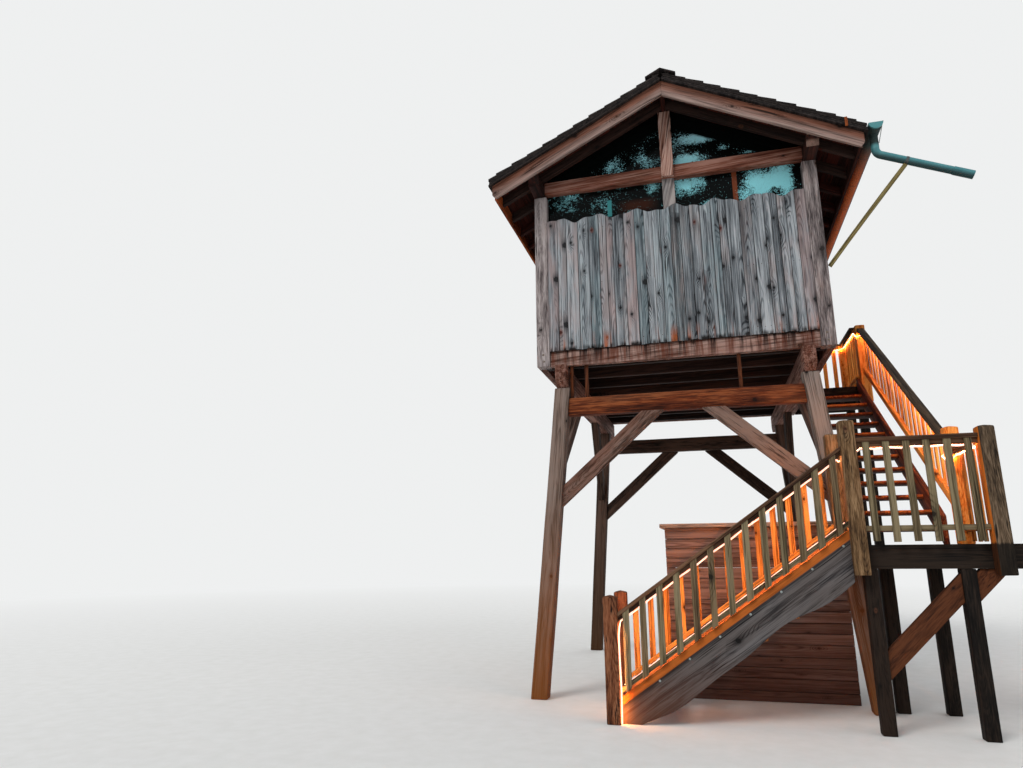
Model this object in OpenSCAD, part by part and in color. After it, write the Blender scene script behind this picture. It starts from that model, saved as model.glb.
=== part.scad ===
// Tree house: a boarded timber cabin on four splayed legs, reached by two flights
// of open stairs with a landing between them and a small gallery at the door.
// The origin is on the ground, in the middle of the outline seen from above.
// +X is to the right along the front, +Y runs towards the back, +Z is up.

/* [Cabin] */
// Width of the cabin over its corner posts
cabin_w = 3200; // [2900:10:3300]
// Depth of the cabin over its corner posts
cabin_d = 4100; // [3900:10:4300]
// Height of the cabin floor above the ground
floor_z = 3720; // [3600:5:3780]
// Side of a square corner post
post_w = 150; // [130:5:170]
// Thickness of the side walls
wall_t = 100; // [70:5:110]
// Thickness of the floor boards
floor_t = 40; // [25:1:50]
// Thickness of a rim beam under a wall
rim_t = 80; // [60:5:100]
// Thickness of the vertical boards of the gable walls
board_t = 26; // [18:1:30]
// Average height of the top of the boards above the floor
board_h = 1600; // [1400:10:1650]

/* [Gable] */
// Height of the upper tie beam's underside over that of the wall plates
tie_up = 35; // [20:1:50]
// Depth of the upper tie beam
tie_h = 153; // [120:1:160]
// Thickness of the upper tie beam
tie_t = 100; // [80:5:110]
// Width of the king post
king_w = 140; // [100:5:160]
// Thickness of the king post
king_t = 45; // [30:5:60]
// Thickness of the gable glazing
glass_t = 12; // [8:1:20]
// Side of the rails and the middle stud behind the boards
stud_w = 70; // [50:5:80]

/* [Doorway] */
// Width of the doorway in the right wall
door_w = 750; // [650:10:760]
// Height of the doorway
door_h = 1800; // [1700:10:1900]
// Height of the wall over the doorway
door_head = 140; // [100:5:180]
// Thickness of the door leaf
door_t = 44; // [30:1:60]
// Distance of the doorway from the back corner post
door_inset = 60; // [40:5:80]
// Gap round the edges of the door leaf
door_gap = 3; // [2:1:6]

/* [Roof] */
// Height of the top of the roof boards at the ridge over the underside of the wall plates
ridge_up = 1023; // [1000:1:1050]
// Slope of the roof in degrees
pitch = 26.8; // [26:0.1:27.5]
// How far the roof reaches past the front and back posts
overhang = 420; // [350:10:500]
// Half the width of the roof boards
eave_x = 2010; // [1960:5:2060]
// Thickness of the roof boards
roof_board_t = 25; // [18:1:30]
// Depth of a rafter
rafter_d = 100; // [80:5:110]
// Width of a rafter
rafter_w = 60; // [40:5:80]
// Number of rafter pairs
rafter_n = 11; // [7:1:12]
// Distance of the end rafters from the outer faces of the gables
rafter_out = 100; // [80:5:140]
// Thickness of the lowest part of the covering
cover_t = 62; // [40:1:80]
// Thickness of the lower edge of one course of shingles
course_t = 45; // [20:1:60]
// Number of courses on a slope
course_n = 11; // [8:1:14]
// How far the covering reaches past the roof boards
cover_out = 40; // [20:5:60]
// Depth of a bargeboard
barge_d = 160; // [140:5:180]
// Thickness of a bargeboard
barge_t = 40; // [30:1:50]
// Thickness of the ridge beam
ridge_beam_t = 50; // [40:5:80]
// Depth of the ridge beam
ridge_beam_d = 110; // [90:5:150]
// Width of a wall plate
plate_w = 130; // [100:5:140]
// Depth of a wall plate
plate_h = 130; // [110:5:135]
// Width of one wing of the ridge cap
cap_w = 170; // [120:5:200]
// Thickness of the ridge cap
cap_t = 28; // [20:1:40]
// Thickness of a fascia
fascia_t = 25; // [20:1:30]
// Depth of a fascia
fascia_d = 130; // [110:5:150]

/* [Rainwater] */
// Radius of the half-round gutter
gutter_r = 70; // [60:1:80]
// Height of the gutter's rim over the lower edge of the covering
gutter_up = 88; // [70:1:95]
// Gap between the gutter and the edge of the covering
gutter_gap = 4; // [3:1:10]
// Thickness of the gutter and of the pipe
sheet_t = 4; // [3:0.5:6]
// Outer radius of the rain pipe
pipe_r = 40; // [35:1:45]
// Radius of the pipe's elbow on its centre line
elbow_r = 80; // [60:5:100]
// Angle of the pipe below the horizontal
pipe_fall = 24; // [20:1:28]
// Length of the sloping pipe
pipe_len = 875; // [800:5:900]
// Length of the socket at the end of the sloping pipe
socket_l = 190; // [150:10:250]
// Distance of the gutter's outlet behind the front edge of the roof boards
outlet_in = 120; // [100:5:160]
// Length of the outlet under the gutter
outlet_drop = 154; // [130:1:170]
// Number of gutter brackets
bracket_n = 7; // [4:1:9]
// Thickness of the prop under the pipe
prop_w = 44; // [36:1:50]
// Distance of the foot of the prop below the wall plate
prop_down = 1240; // [1200:10:1300]
// Distance along the sloping pipe where the prop holds it
prop_t = 250; // [200:10:300]

/* [Substructure] */
// Side of a square leg
leg_w = 170; // [150:5:190]
// Distance of a leg's foot from the middle of the house
foot_x = 1600; // [1550:5:1650]
// Distance of a leg's top from the middle of the house
head_x = 1315; // [1300:5:1330]
// Set-back of a front leg's foot behind the front face
foot_y = -80; // [-120:5:0]
// Set-back of a front leg's top behind the front face
head_y = 100; // [90:5:140]
// Set-back of the back legs' feet before the back face
back_foot_y = 400; // [350:5:450]
// Set-back of the back legs' tops before the back face
back_head_y = 665; // [600:5:700]
// Depth of a sill beam
sill_d = 260; // [220:5:280]
// Thickness of a sill beam
sill_t = 130; // [110:5:150]
// Reach of the sill beams past the gables
sill_out = 60; // [40:5:100]
// Depth of the floor joists
joist_d = 150; // [120:5:170]
// Thickness of a floor joist
joist_t = 70; // [50:5:90]
// Number of floor joists
joist_n = 8; // [6:1:10]
// Height of the middle of a lower tie beam
low_tie_z = 3050; // [2950:5:3080]
// Depth of a lower tie beam
low_tie_h = 200; // [160:5:220]
// Thickness of a lower tie beam
low_tie_t = 120; // [100:5:140]
// Depth of a knee brace
brace_d = 160; // [140:5:170]
// Thickness of a knee brace
brace_t = 90; // [70:5:110]
// Height of the foot of a knee brace across the gables
brace_foot = 2050; // [2000:10:2100]
// Distance of its head from the middle of the house
brace_head = 320; // [280:10:360]
// Height of the foot of a knee brace along the sides
side_foot = 2350; // [2250:10:2400]
// Distance of its head from the gable's face
side_head = 1100; // [1050:10:1200]
// Distance of the hanger laths from the middle: two on the left, one on the right
lath_x1 = 1210; // [1180:5:1240]
lath_x2 = 1040; // [1010:5:1070]
lath_x3 = 620; // [590:5:650]
// Width of a hanger lath
lath_w = 40; // [30:1:50]

/* [Stairs] */
// Height of the landing
landing_z = 1500; // [1440:4:1560]
// Steps up to the landing
lower_n = 8; // [7:1:9]
// Steps from the landing up to the gallery
upper_n = 13; // [12:1:14]
// Going of a step of the lower flight
lower_going = 265; // [255:1:275]
// Going of a step of the upper flight
upper_going = 248; // [240:1:256]
// Left edge of the landing
landing_x = 1420; // [1400:5:1440]
// Outer edge of the lower flight and the landing, before the front face
stair_front = 1000; // [960:5:1040]
// Width of the lower flight over its stringers
lower_w = 850; // [800:5:880]
// Left face of the upper flight
upper_x = 1605; // [1605:5:1620]
// Width of the upper flight over its stringers
upper_w = 785; // [740:5:800]
// Depth of the lower flight's stringers
lower_string_d = 335; // [320:5:350]
// Depth of the upper flight's stringers
upper_string_d = 250; // [220:5:280]
// Rise of the lower stringers over the pitch line, square to it
string_rise = 152; // [140:1:165]
// Rise of the upper stringers over the pitch line
upper_string_up = 100; // [60:5:120]
// Distance of the foot newels before the first riser
foot_out = 287; // [260:1:300]
// Distance of the top newels before the landing's edge
top_back = 25; // [15:1:35]
// Set-back behind the front face of the newel at the foot of the upper flight
upper_foot = -150; // [-180:5:-120]
// Set-back of the landing's right posts from the right end of the flights
post_in = 240; // [220:5:260]
// Set-back of the landing's left back post from the upper flight's left face
post_out = 130; // [110:5:150]
// Thickness of a stringer
string_t = 45; // [35:1:55]
// Thickness of a tread
tread_t = 45; // [35:1:50]
// Depth of a tread from front to back
tread_d = 250; // [220:5:255]
// Thickness of the decks of the landing and the gallery
deck_t = 40; // [30:1:50]
// Depth of the beams under the decks
deck_beam_d = 160; // [130:5:180]
// Thickness of the beams under the decks
deck_beam_t = 60; // [50:5:80]
// Side of a post under the landing or the gallery
deck_post_w = 110; // [90:5:120]
// Right edge of the landing
landing_end = 2660; // [2600:10:2700]
// Depth of the gallery
gallery_d = 950; // [900:10:980]
// How far the gallery reaches out past the upper flight
gallery_out = 60; // [50:1:70]

/* [Railings] */
// Side of a square newel post
newel_w = 125; // [110:5:135]
// Height of a railing above the pitch line or deck
rail_h = 900; // [850:10:960]
// Height of the gallery's railing above its deck
gallery_rail_h = 870; // [820:10:900]
// How far the gallery's side railing stands in from the upper flight's railing
gallery_in = 68; // [60:1:75]
// How far a newel post stands up over the handrails
newel_up = 110; // [90:5:130]
// Thickness of a handrail
hand_d = 38; // [30:1:45]
// Width of a handrail
hand_w = 96; // [85:1:110]
// Thickness of the rails
rail_t = 40; // [30:1:45]
// Depth of the rails
low_rail_d = 45; // [35:1:55]
// Depth of the lower rail of the upper flight
upper_rail_d = 90; // [70:1:100]
// Height of the lower rail's underside above the deck
low_rail_z = 110; // [90:5:130]
// Width of a baluster
baluster_w = 58; // [40:1:65]
// Thickness of a baluster
baluster_t = 22; // [16:1:25]
// Wanted spacing of the balusters
baluster_step = 150; // [130:5:160]
// Radius of the rope light
rope_r = 7; // [5:1:10]

/* [Store] */
// Left end of the store's walls
store_x = -280; // [-320:5:-240]
// Right end of the store's walls
store_end = 1480; // [1400:5:1500]
// Set-back of the store behind the front face
store_y = 260; // [240:5:300]
// Depth of the store
store_d = 1100; // [900:10:1200]
// Height of the store's walls
store_h = 1700; // [1500:10:1730]
// Thickness of the store's walls
store_t = 40; // [30:1:50]
// Thickness of the store's lid
lid_t = 45; // [35:1:60]
// Overhang of the store's lid
lid_out = 50; // [30:5:80]

/* [Hidden] */
$fn = 48;
slope = tan(pitch);
plumb = 1 / cos(pitch);
half_w = cabin_w / 2;
plate_z = floor_z + door_h + door_head;
tie_z = plate_z + tie_up;
ridge_z = plate_z + ridge_up;
inner_x = half_w - post_w;
roof_y0 = -overhang;
roof_y1 = cabin_d + overhang;
beam_z = floor_z - floor_t - joist_d;
leg_top = beam_z - sill_d;
gable_rail_z = floor_z + board_h - 170;
// Set-back of the fascia's face behind the edge of the roof boards
fascia_in = 20;
// Half the gap between the two slopes' boards and shingles at the ridge
ridge_gap = 2;

// Place of the landing and the flights
front_y = -stair_front;
lower_back = front_y + lower_w;
lower_rise = landing_z / lower_n;
upper_rise = (floor_z - landing_z) / upper_n;
upper_end = upper_x + upper_w;
gallery_y = cabin_d - post_w - gallery_d + newel_w / 2;
upper_y = gallery_y - (upper_n - 1) * upper_going;
lower_x = landing_x - (lower_n - 1) * lower_going;
deck_front = front_y + newel_w / 2;
newel_front = deck_front - newel_w;
gallery_end = gallery_y + gallery_d;
gallery_x1 = upper_end + gallery_out;
landing_back = lower_back - newel_w;
lower_cos = cos(atan2(lower_rise, lower_going));
upper_cos = cos(atan2(upper_rise, upper_going));
string_up = string_rise / lower_cos;

// Places of the newel posts and the railings between them
foot_newel_x = lower_x - foot_out;
top_newel_x = landing_x - top_back;
landing_newel_x = upper_end + newel_w / 2;
upper_foot_y = upper_foot;
rail_y = front_y;
back_rail_y = lower_back - newel_w / 2;
gallery_rail_x = landing_newel_x - gallery_in;
low_rail_up = string_up + 30;
newel_low = landing_z - deck_t - deck_beam_d - 50;
gallery_newel_low = floor_z - deck_t - deck_beam_d - 50;

// Place of the outlet in the gutter
outlet_y = roof_y0 + outlet_in;

// The middle of the outline seen from above
covered_x = eave_x + cover_out;
pipe_from = gutter_x() + elbow_r * (1 - sin(pipe_fall));
pipe_tip = pipe_from + pipe_len * cos(pipe_fall) + (pipe_r + sheet_t) * sin(pipe_fall);
mid_x = (pipe_tip - covered_x) / 2;
mid_y = (roof_y1 + cover_out + newel_front) / 2;

function roof_z(x) = ridge_z - abs(x) * slope;
function leg_x(z) = foot_x + (head_x - foot_x) * z / leg_top;
function leg_y(z) = foot_y + (head_y - foot_y) * z / leg_top;
function back_leg_y(z) = cabin_d - back_foot_y - (back_head_y - back_foot_y) * z / leg_top;
function gutter_x() = eave_x + cover_out + gutter_gap + gutter_r;
function gutter_z() = roof_z(covered_x) + gutter_up;

// A block between two corners
module block(low, high) {
    translate(low) cube(high - low);
}

// A solid with its outline in x and z, from y0 to y1
module front_slab(y0, y1) {
    translate([0, y1, 0]) rotate([90, 0, 0]) linear_extrude(y1 - y0) children();
}

// A solid with its outline in y and z, from x0 to x1
module side_slab(x0, x1) {
    translate([x0, 0, 0]) rotate([90, 0, 90]) linear_extrude(x1 - x0) children();
}

// The outline of a bar of width w whose middle line goes through p and q
module bar(p, q, w, past = 300) {
    along = (q - p) / norm(q - p);
    across = [-along[1], along[0]] * w / 2;
    from = p - along * past;
    to = q + along * past;
    polygon([from - across, to - across, to + across, from + across]);
}

// The right slope's layer between two depths below the top of the roof boards
module slope_layer(top, bottom, x_in, x_out) {
    polygon([
        [x_in, roof_z(x_in) - top * plumb],
        [x_out, roof_z(x_out) - top * plumb],
        [x_out, roof_z(x_out) - bottom * plumb],
        [x_in, roof_z(x_in) - bottom * plumb]
    ]);
}

module both_sides() {
    children();
    mirror([1, 0, 0]) children();
}

// The same piece at the front and, mirrored, at the back of the cabin
module both_ends() {
    children();
    translate([0, cabin_d, 0]) mirror([0, 1, 0]) children();
}

// Moves the finished pieces so that the origin is in the middle of the outline
module placed() {
    translate([-mid_x, -mid_y, 0]) children();
}

// A leg that leans in two directions, cut level at both ends
module leg(yb, yt) {
    intersection() {
        front_slab(min(yb, yt) - leg_w, max(yb, yt) + leg_w)
            polygon([
                [foot_x - leg_w / 2, 0],
                [foot_x + leg_w / 2, 0],
                [head_x + leg_w / 2, leg_top],
                [head_x - leg_w / 2, leg_top]
            ]);
        side_slab(head_x - leg_w, foot_x + leg_w)
            polygon([
                [yb - leg_w / 2, 0],
                [yb + leg_w / 2, 0],
                [yt + leg_w / 2, leg_top],
                [yt - leg_w / 2, leg_top]
            ]);
    }
}

module legs() {
    color("#8a7a66")
        both_sides() {
            leg(foot_y, head_y);
            leg(cabin_d - back_foot_y, cabin_d - back_head_y);
        }
}

// The clear space between the inner faces of a pair of legs, below height z1
module between_legs(z0, z1) {
    polygon([
        [-leg_x(z0) + leg_w / 2, z0],
        [leg_x(z0) - leg_w / 2, z0],
        [leg_x(z1) - leg_w / 2, z1],
        [-leg_x(z1) + leg_w / 2, z1]
    ]);
}

module lower_ties() {
    low = low_tie_z - low_tie_h / 2;
    high = low_tie_z + low_tie_h / 2;
    color("#7d5f4a")
        for (y = [leg_y(low_tie_z), back_leg_y(low_tie_z)])
            front_slab(y - low_tie_t / 2, y + low_tie_t / 2) between_legs(low, high);
}

// Knee braces across the front and back frames and along the sides
module knee_braces() {
    under = low_tie_z - low_tie_h / 2;
    color("#7a6450") {
        for (y = [leg_y(brace_foot), back_leg_y(brace_foot)])
            front_slab(y - brace_t / 2, y + brace_t / 2)
                intersection() {
                    both_sides_2d()
                        bar([leg_x(brace_foot) - leg_w / 2, brace_foot], [brace_head, under], brace_d);
                    between_legs(0, under);
                }
        both_sides()
            intersection() {
                side_slab(0, 2 * half_w)
                    intersection() {
                        union() {
                            bar([leg_y(side_foot) + leg_w / 2, side_foot], [side_head, leg_top], brace_d);
                            bar(
                                [back_leg_y(side_foot) - leg_w / 2, side_foot],
                                [cabin_d - back_head_y - side_head + head_y, leg_top], brace_d
                            );
                        }
                        polygon([
                            [leg_y(0) + leg_w / 2, 0],
                            [back_leg_y(0) - leg_w / 2, 0],
                            [back_leg_y(leg_top) - leg_w / 2, leg_top],
                            [leg_y(leg_top) + leg_w / 2, leg_top]
                        ]);
                    }
                front_slab(0, cabin_d)
                    polygon([
                        [foot_x - brace_t / 2, 0],
                        [foot_x + brace_t / 2, 0],
                        [head_x + brace_t / 2, leg_top],
                        [head_x - brace_t / 2, leg_top]
                    ]);
            }
    }
}

module both_sides_2d() {
    children();
    mirror([1, 0]) children();
}

// Two sill beams on the legs, their ends cut back in a bevel
module sill_beams() {
    bevel = 90;
    color("#6f5a48")
        both_sides()
            side_slab(head_x - sill_t / 2, head_x + sill_t / 2)
                polygon([
                    [-sill_out + bevel, leg_top],
                    [cabin_d + sill_out - bevel, leg_top],
                    [cabin_d + sill_out, leg_top + bevel],
                    [cabin_d + sill_out, beam_z],
                    [-sill_out, beam_z],
                    [-sill_out, leg_top + bevel]
                ]);
}

module floor_joists() {
    first = post_w + joist_t / 2;
    step = (cabin_d - 2 * first) / (joist_n - 1);
    color("#5f4a3a")
        for (i = [0 : joist_n - 1])
            block(
                [-half_w + rim_t, first + i * step - joist_t / 2, beam_z],
                [half_w - rim_t, first + i * step + joist_t / 2, beam_z + joist_d]
            );
}

// Rim beams between the corner posts: across the gables and along the sides
module rim_beams() {
    color("#8b5a45") {
        both_ends()
            block([-inner_x, board_t, beam_z], [inner_x, board_t + rim_t, floor_z]);
        both_sides()
            block([half_w - rim_t, post_w, beam_z], [half_w, cabin_d - post_w, floor_z]);
    }
}

module floor_deck() {
    inset = half_w - rim_t;
    color("#6b5846")
        difference() {
            block(
                [-inset, board_t + rim_t, floor_z - floor_t],
                [inset, cabin_d - board_t - rim_t, floor_z]
            );
            for (y = [0, cabin_d - post_w])
                both_sides()
                    block([inner_x, y, 0], [half_w, y + post_w, floor_z + floor_t]);
        }
}

module corner_posts() {
    color("#8d8078")
        both_ends() both_sides()
            block([inner_x, 0, beam_z], [half_w, post_w, plate_z]);
}

// Height of the sawn top edge of the boards above its average, along the gable
function board_wave(x) = 28 * sin(x * 0.78 + 40) + 14 * sin(x * 1.7);

// Vertical boards with a sawn, wavy top edge
module gable_boards() {
    step = 25;
    count = floor(2 * inner_x / step);
    top = [for (i = [0 : count]) let(x = -inner_x + 2 * inner_x * i / count)
        [x, floor_z + board_h + board_wave(x)]];
    front_slab(0, board_t)
        polygon(concat([[inner_x, floor_z - 15], [-inner_x, floor_z - 15]], top));
}

module front_boards() {
    color("#8e969a") gable_boards();
}

module back_boards() {
    color("#8e969a") translate([0, cabin_d, 0]) mirror([0, 1, 0]) gable_boards();
}

// Bottom and top rails behind the boards of each gable
module gable_rails() {
    color("#7b6a5c")
        both_ends()
            for (z = [floor_z, gable_rail_z - stud_w])
                block([-inner_x, board_t, z], [inner_x, board_t + stud_w, z + stud_w]);
}

// Middle studs of each gable, below and above the top rail
module gable_studs() {
    color("#7b6a5c")
        both_ends() {
            block(
                [-stud_w, board_t, floor_z + stud_w],
                [stud_w, board_t + stud_w, gable_rail_z - stud_w]
            );
            block([-stud_w, board_t, gable_rail_z], [stud_w, board_t + stud_w, tie_z]);
        }
}

module upper_ties() {
    color("#94664c")
        both_ends() block([-half_w + plate_w, 0, tie_z], [half_w - plate_w, tie_t, tie_z + tie_h]);
}

module king_posts() {
    top = ridge_beam_z();
    color("#94664c")
        both_ends() block([-king_w / 2, -king_t, tie_z], [king_w / 2, 0, top]);
}

function ridge_beam_z() = roof_z(ridge_beam_t / 2) - roof_board_t * plumb - ridge_beam_d;

// One sheet of glass in each gable, from behind the boards up to the roof boards
module gable_glass() {
    low = gable_rail_z - stud_w / 2;
    color("#9fc4cc", 0.4)
        both_ends()
            front_slab(tie_t, tie_t + glass_t)
                difference() {
                    polygon([
                        [-inner_x, low],
                        [inner_x, low],
                        [inner_x, roof_z(inner_x) - roof_board_t * plumb],
                        [0, roof_z(0) - roof_board_t * plumb],
                        [-inner_x, roof_z(inner_x) - roof_board_t * plumb]
                    ]);
                    translate([-ridge_beam_t / 2, ridge_beam_z()])
                        square([ridge_beam_t, 2 * ridge_beam_d]);
                    for (x = [-half_w, half_w - plate_w])
                        translate([x, plate_z]) square([plate_w, plate_h]);
                }
}

function wall_x() = half_w - wall_t - 20;
function door_y0() = cabin_d - post_w - door_inset - door_w;
function door_y1() = door_y0() + door_w;

module left_wall() {
    color("#7d6d60")
        block([-wall_x() - wall_t, post_w, floor_z], [-wall_x(), cabin_d - post_w, plate_z]);
}

// The right wall on both sides of the doorway
module right_wall() {
    color("#7d6d60") {
        block([wall_x(), post_w, floor_z], [wall_x() + wall_t, door_y0(), plate_z]);
        block([wall_x(), door_y1(), floor_z], [wall_x() + wall_t, cabin_d - post_w, plate_z]);
    }
}

module wall_over_door() {
    color("#7d6d60")
        block([wall_x(), door_y0(), floor_z + door_h], [wall_x() + wall_t, door_y1(), plate_z]);
}

// The door leaf, standing open against the inside of the right wall
module door() {
    color("#7a4a30")
        block(
            [wall_x() - door_t, door_y0() - door_w + 2 * door_gap, floor_z],
            [wall_x(), door_y0(), floor_z + door_h - door_gap]
        );
}

// Wall plates with shaped ends, and the ridge beam
module roof_beams() {
    scroll = 90;
    color("#7c4a38") {
        both_sides()
            side_slab(half_w - plate_w, half_w)
                difference() {
                    translate([roof_y0 + barge_t, plate_z])
                        square([cabin_d + 2 * overhang - 2 * barge_t, plate_h]);
                    for (y = [roof_y0 + barge_t, roof_y1 - barge_t])
                        translate([y, plate_z]) circle(r = scroll);
                }
        translate([-ridge_beam_t / 2, roof_y0 + barge_t, ridge_beam_z()])
            cube([ridge_beam_t, cabin_d + 2 * overhang - 2 * barge_t, ridge_beam_d]);
    }
}

// Rafter pairs against the ridge beam, notched over the wall plates
module rafters() {
    run = cabin_d + 2 * rafter_out;
    step = run / (rafter_n - 1);
    color("#6b3a2c")
        for (i = [0 : rafter_n - 1])
            both_sides()
                front_slab(-rafter_out + i * step - rafter_w / 2, -rafter_out + i * step + rafter_w / 2)
                    difference() {
                        slope_layer(
                            roof_board_t, roof_board_t + rafter_d,
                            ridge_beam_t / 2, eave_x - fascia_t - fascia_in
                        );
                        translate([half_w - plate_w, plate_z]) square([plate_w, plate_h]);
                    }
}

module bargeboard_pair() {
    both_ends()
        front_slab(roof_y0, roof_y0 + barge_t)
            difference() {
                slope_layer(0, barge_d, 0, eave_x);
                translate([eave_x, roof_z(eave_x) - barge_d * plumb])
                    rotate(45) square(90, center = true);
            }
}

module bargeboards_right() {
    color("#8c7a70") bargeboard_pair();
}

module bargeboards_left() {
    color("#8c7a70") mirror([1, 0, 0]) bargeboard_pair();
}

module roof_boards() {
    color("#5a382c")
        both_sides()
            front_slab(roof_y0 + barge_t, roof_y1 - barge_t)
                slope_layer(0, roof_board_t, ridge_gap, eave_x);
}

// The covering of the right slope: a base under stepped courses of shingles
module cover_outline() {
    run = covered_x - ridge_gap;
    step = run / course_n;
    steps = [for (i = [0 : course_n - 1]) let(x = covered_x - i * step)
        each [
            [x, roof_z(x) + (cover_t + course_t) * plumb],
            [x - step, roof_z(x - step) + cover_t * plumb]
        ]];
    polygon(concat(
        [[ridge_gap, roof_z(ridge_gap)], [covered_x, roof_z(covered_x)]],
        steps
    ));
}

module shingles() {
    color("#2f2a28")
        both_sides() front_slab(roof_y0 - cover_out, roof_y1 + cover_out) cover_outline();
}

// Two boards over the ridge, laid on the courses
module ridge_cap() {
    base = cover_t + course_t * (cap_w - ridge_gap) * course_n / (covered_x - ridge_gap);
    color("#37302c")
        front_slab(roof_y0 - cover_out, roof_y1 + cover_out)
            polygon([
                [-cap_w, roof_z(cap_w) + base * plumb],
                [0, roof_z(0) + base * plumb],
                [cap_w, roof_z(cap_w) + base * plumb],
                [cap_w, roof_z(cap_w) + (base + cap_t) * plumb],
                [0, roof_z(0) + (base + cap_t) * plumb],
                [-cap_w, roof_z(cap_w) + (base + cap_t) * plumb]
            ]);
}

module fascias() {
    color("#7a5040")
        both_sides()
            front_slab(roof_y0 + barge_t, roof_y1 - barge_t)
                slope_layer(
                    roof_board_t, roof_board_t + fascia_d,
                    eave_x - fascia_t - fascia_in, eave_x - fascia_in
                );
}

// The lower half of the gutter's round, at radius r
module half_round(r) {
    intersection() {
        circle(r = r);
        translate([-r, -r]) square([2 * r, r]);
    }
}

// Half-round gutter with closed ends and an outlet, hung at the right eave
module gutter() {
    y0 = roof_y0 - cover_out;
    y1 = roof_y1 + cover_out;
    color("#4f7f80")
        translate([gutter_x(), 0, gutter_z()])
            difference() {
                union() {
                    front_slab(y0, y1) half_round(gutter_r);
                    translate([0, outlet_y, -gutter_r - outlet_drop])
                        cylinder(h = outlet_drop + gutter_r / 2, r = pipe_r);
                }
                front_slab(y0 + sheet_t, y1 - sheet_t)
                    circle(r = gutter_r - sheet_t);
                translate([0, outlet_y, -2 * gutter_r - outlet_drop])
                    cylinder(h = 2 * gutter_r + outlet_drop, r = pipe_r - sheet_t);
            }
    color("#4f7f80") gutter_brackets();
}

// Stubs that hold the gutter to the edge of the covering
module gutter_brackets() {
    first = roof_y0 + 2 * outlet_in;
    step = (roof_y1 - roof_y0 - 4 * outlet_in) / (bracket_n - 1);
    half = 15;
    for (i = [0 : bracket_n - 1])
        block(
            [covered_x, first + i * step - half, gutter_z() - gutter_r / 2],
            [gutter_x() - gutter_r + sheet_t, first + i * step + half, gutter_z() - sheet_t]
        );
}

// Moves and turns a piece from the outlet's lower end to the elbow's lower end
module below_elbow() {
    translate([gutter_x() + elbow_r, outlet_y, gutter_z() - gutter_r - outlet_drop])
        rotate([0, pipe_fall - 90, 0])
            translate([-elbow_r, 0, 0])
                children();
}

// The elbow between the outlet and the sloping pipe
module pipe_elbow() {
    color("#4f7f80")
        translate([gutter_x() + elbow_r, outlet_y, gutter_z() - gutter_r - outlet_drop])
            rotate([90, 0, 0]) rotate([0, 0, 180])
                rotate_extrude(angle = 90 - pipe_fall)
                    translate([elbow_r, 0])
                        difference() {
                            circle(r = pipe_r);
                            circle(r = pipe_r - sheet_t);
                        }
}

// The sloping pipe with a socket at its open end
module rain_pipe() {
    color("#4f7f80")
        below_elbow()
            difference() {
                union() {
                    translate([0, 0, -pipe_len]) cylinder(h = pipe_len, r = pipe_r);
                    translate([0, 0, -pipe_len]) cylinder(h = socket_l, r = pipe_r + sheet_t);
                }
                translate([0, 0, -pipe_len - 1]) cylinder(h = pipe_len + 2, r = pipe_r - sheet_t);
            }
}

// A point on the underside of the sloping pipe, at a distance along it
function pipe_under(t, r) = [
    pipe_from + t * cos(pipe_fall) - r * sin(pipe_fall),
    outlet_y,
    gutter_z() - gutter_r - outlet_drop - elbow_r * cos(pipe_fall) - t * sin(pipe_fall)
        - r * cos(pipe_fall)
];

// A round pole from the corner post to the underside of the pipe
module pipe_prop() {
    foot = [half_w + prop_w / 2 + 4, post_w / 2, plate_z - prop_down];
    head = pipe_under(prop_t, pipe_r + 2);
    run = head - foot;
    color("#8a7a50")
        translate(foot)
            rotate([0, acos(run[2] / norm(run)), atan2(run[1], run[0])])
                cylinder(h = norm(run), r = prop_w / 2);
}

// Thin laths that hang between the rim beam and the lower tie beam
module hanger_laths() {
    y = leg_y(low_tie_z);
    color("#8a7a66")
        for (x = [-lath_x1, -lath_x2, lath_x3])
            block(
                [x - lath_w / 2, y - lath_w / 2, low_tie_z + low_tie_h / 2],
                [x + lath_w / 2, y + lath_w / 2, beam_z]
            );
}

// Height of a flight's pitch line above its start, at a distance along it
function lower_pitch(x) = lower_rise + (x - lower_x) * lower_rise / lower_going;
function upper_pitch(y) = landing_z + upper_rise + (y - upper_y) * upper_rise / upper_going;

// The strip between two heights over the lower flight's pitch line
module lower_strip(low, high, x0, x1) {
    polygon([
        [x0, lower_pitch(x0) + low],
        [x1, lower_pitch(x1) + low],
        [x1, lower_pitch(x1) + high],
        [x0, lower_pitch(x0) + high]
    ]);
}

module upper_strip(low, high, y0, y1) {
    polygon([
        [y0, upper_pitch(y0) + low],
        [y1, upper_pitch(y1) + low],
        [y1, upper_pitch(y1) + high],
        [y0, upper_pitch(y0) + high]
    ]);
}

module lower_stringers() {
    deep = lower_string_d / lower_cos;
    x0 = foot_newel_x + newel_w / 2;
    x1 = top_newel_x - newel_w / 2;
    color("#6d7478")
        for (y = [front_y, lower_back - string_t])
            front_slab(y, y + string_t)
                intersection() {
                    lower_plank(x0, x1, string_up - deep, string_up);
                    translate([x0, 0]) square([x1 - x0, 2 * landing_z]);
                }
}

// How far the natural lower edge of a plank stands in, at a part f of its length
function natural_edge(f) = 32 * sin(540 * f + 95) + 14 * sin(1130 * f) + 46 * (1 - f) * (1 - f);

// A plank along the lower flight with a straight upper and a natural lower edge
module lower_plank(x0, x1, low, high) {
    count = 36;
    edge = [for (i = [0 : count]) let(f = i / count, x = x0 + (x1 - x0) * f)
        [x, lower_pitch(x) + low + natural_edge(f)]];
    polygon(concat([[x1, lower_pitch(x1) + high], [x0, lower_pitch(x0) + high]], edge));
}

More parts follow.
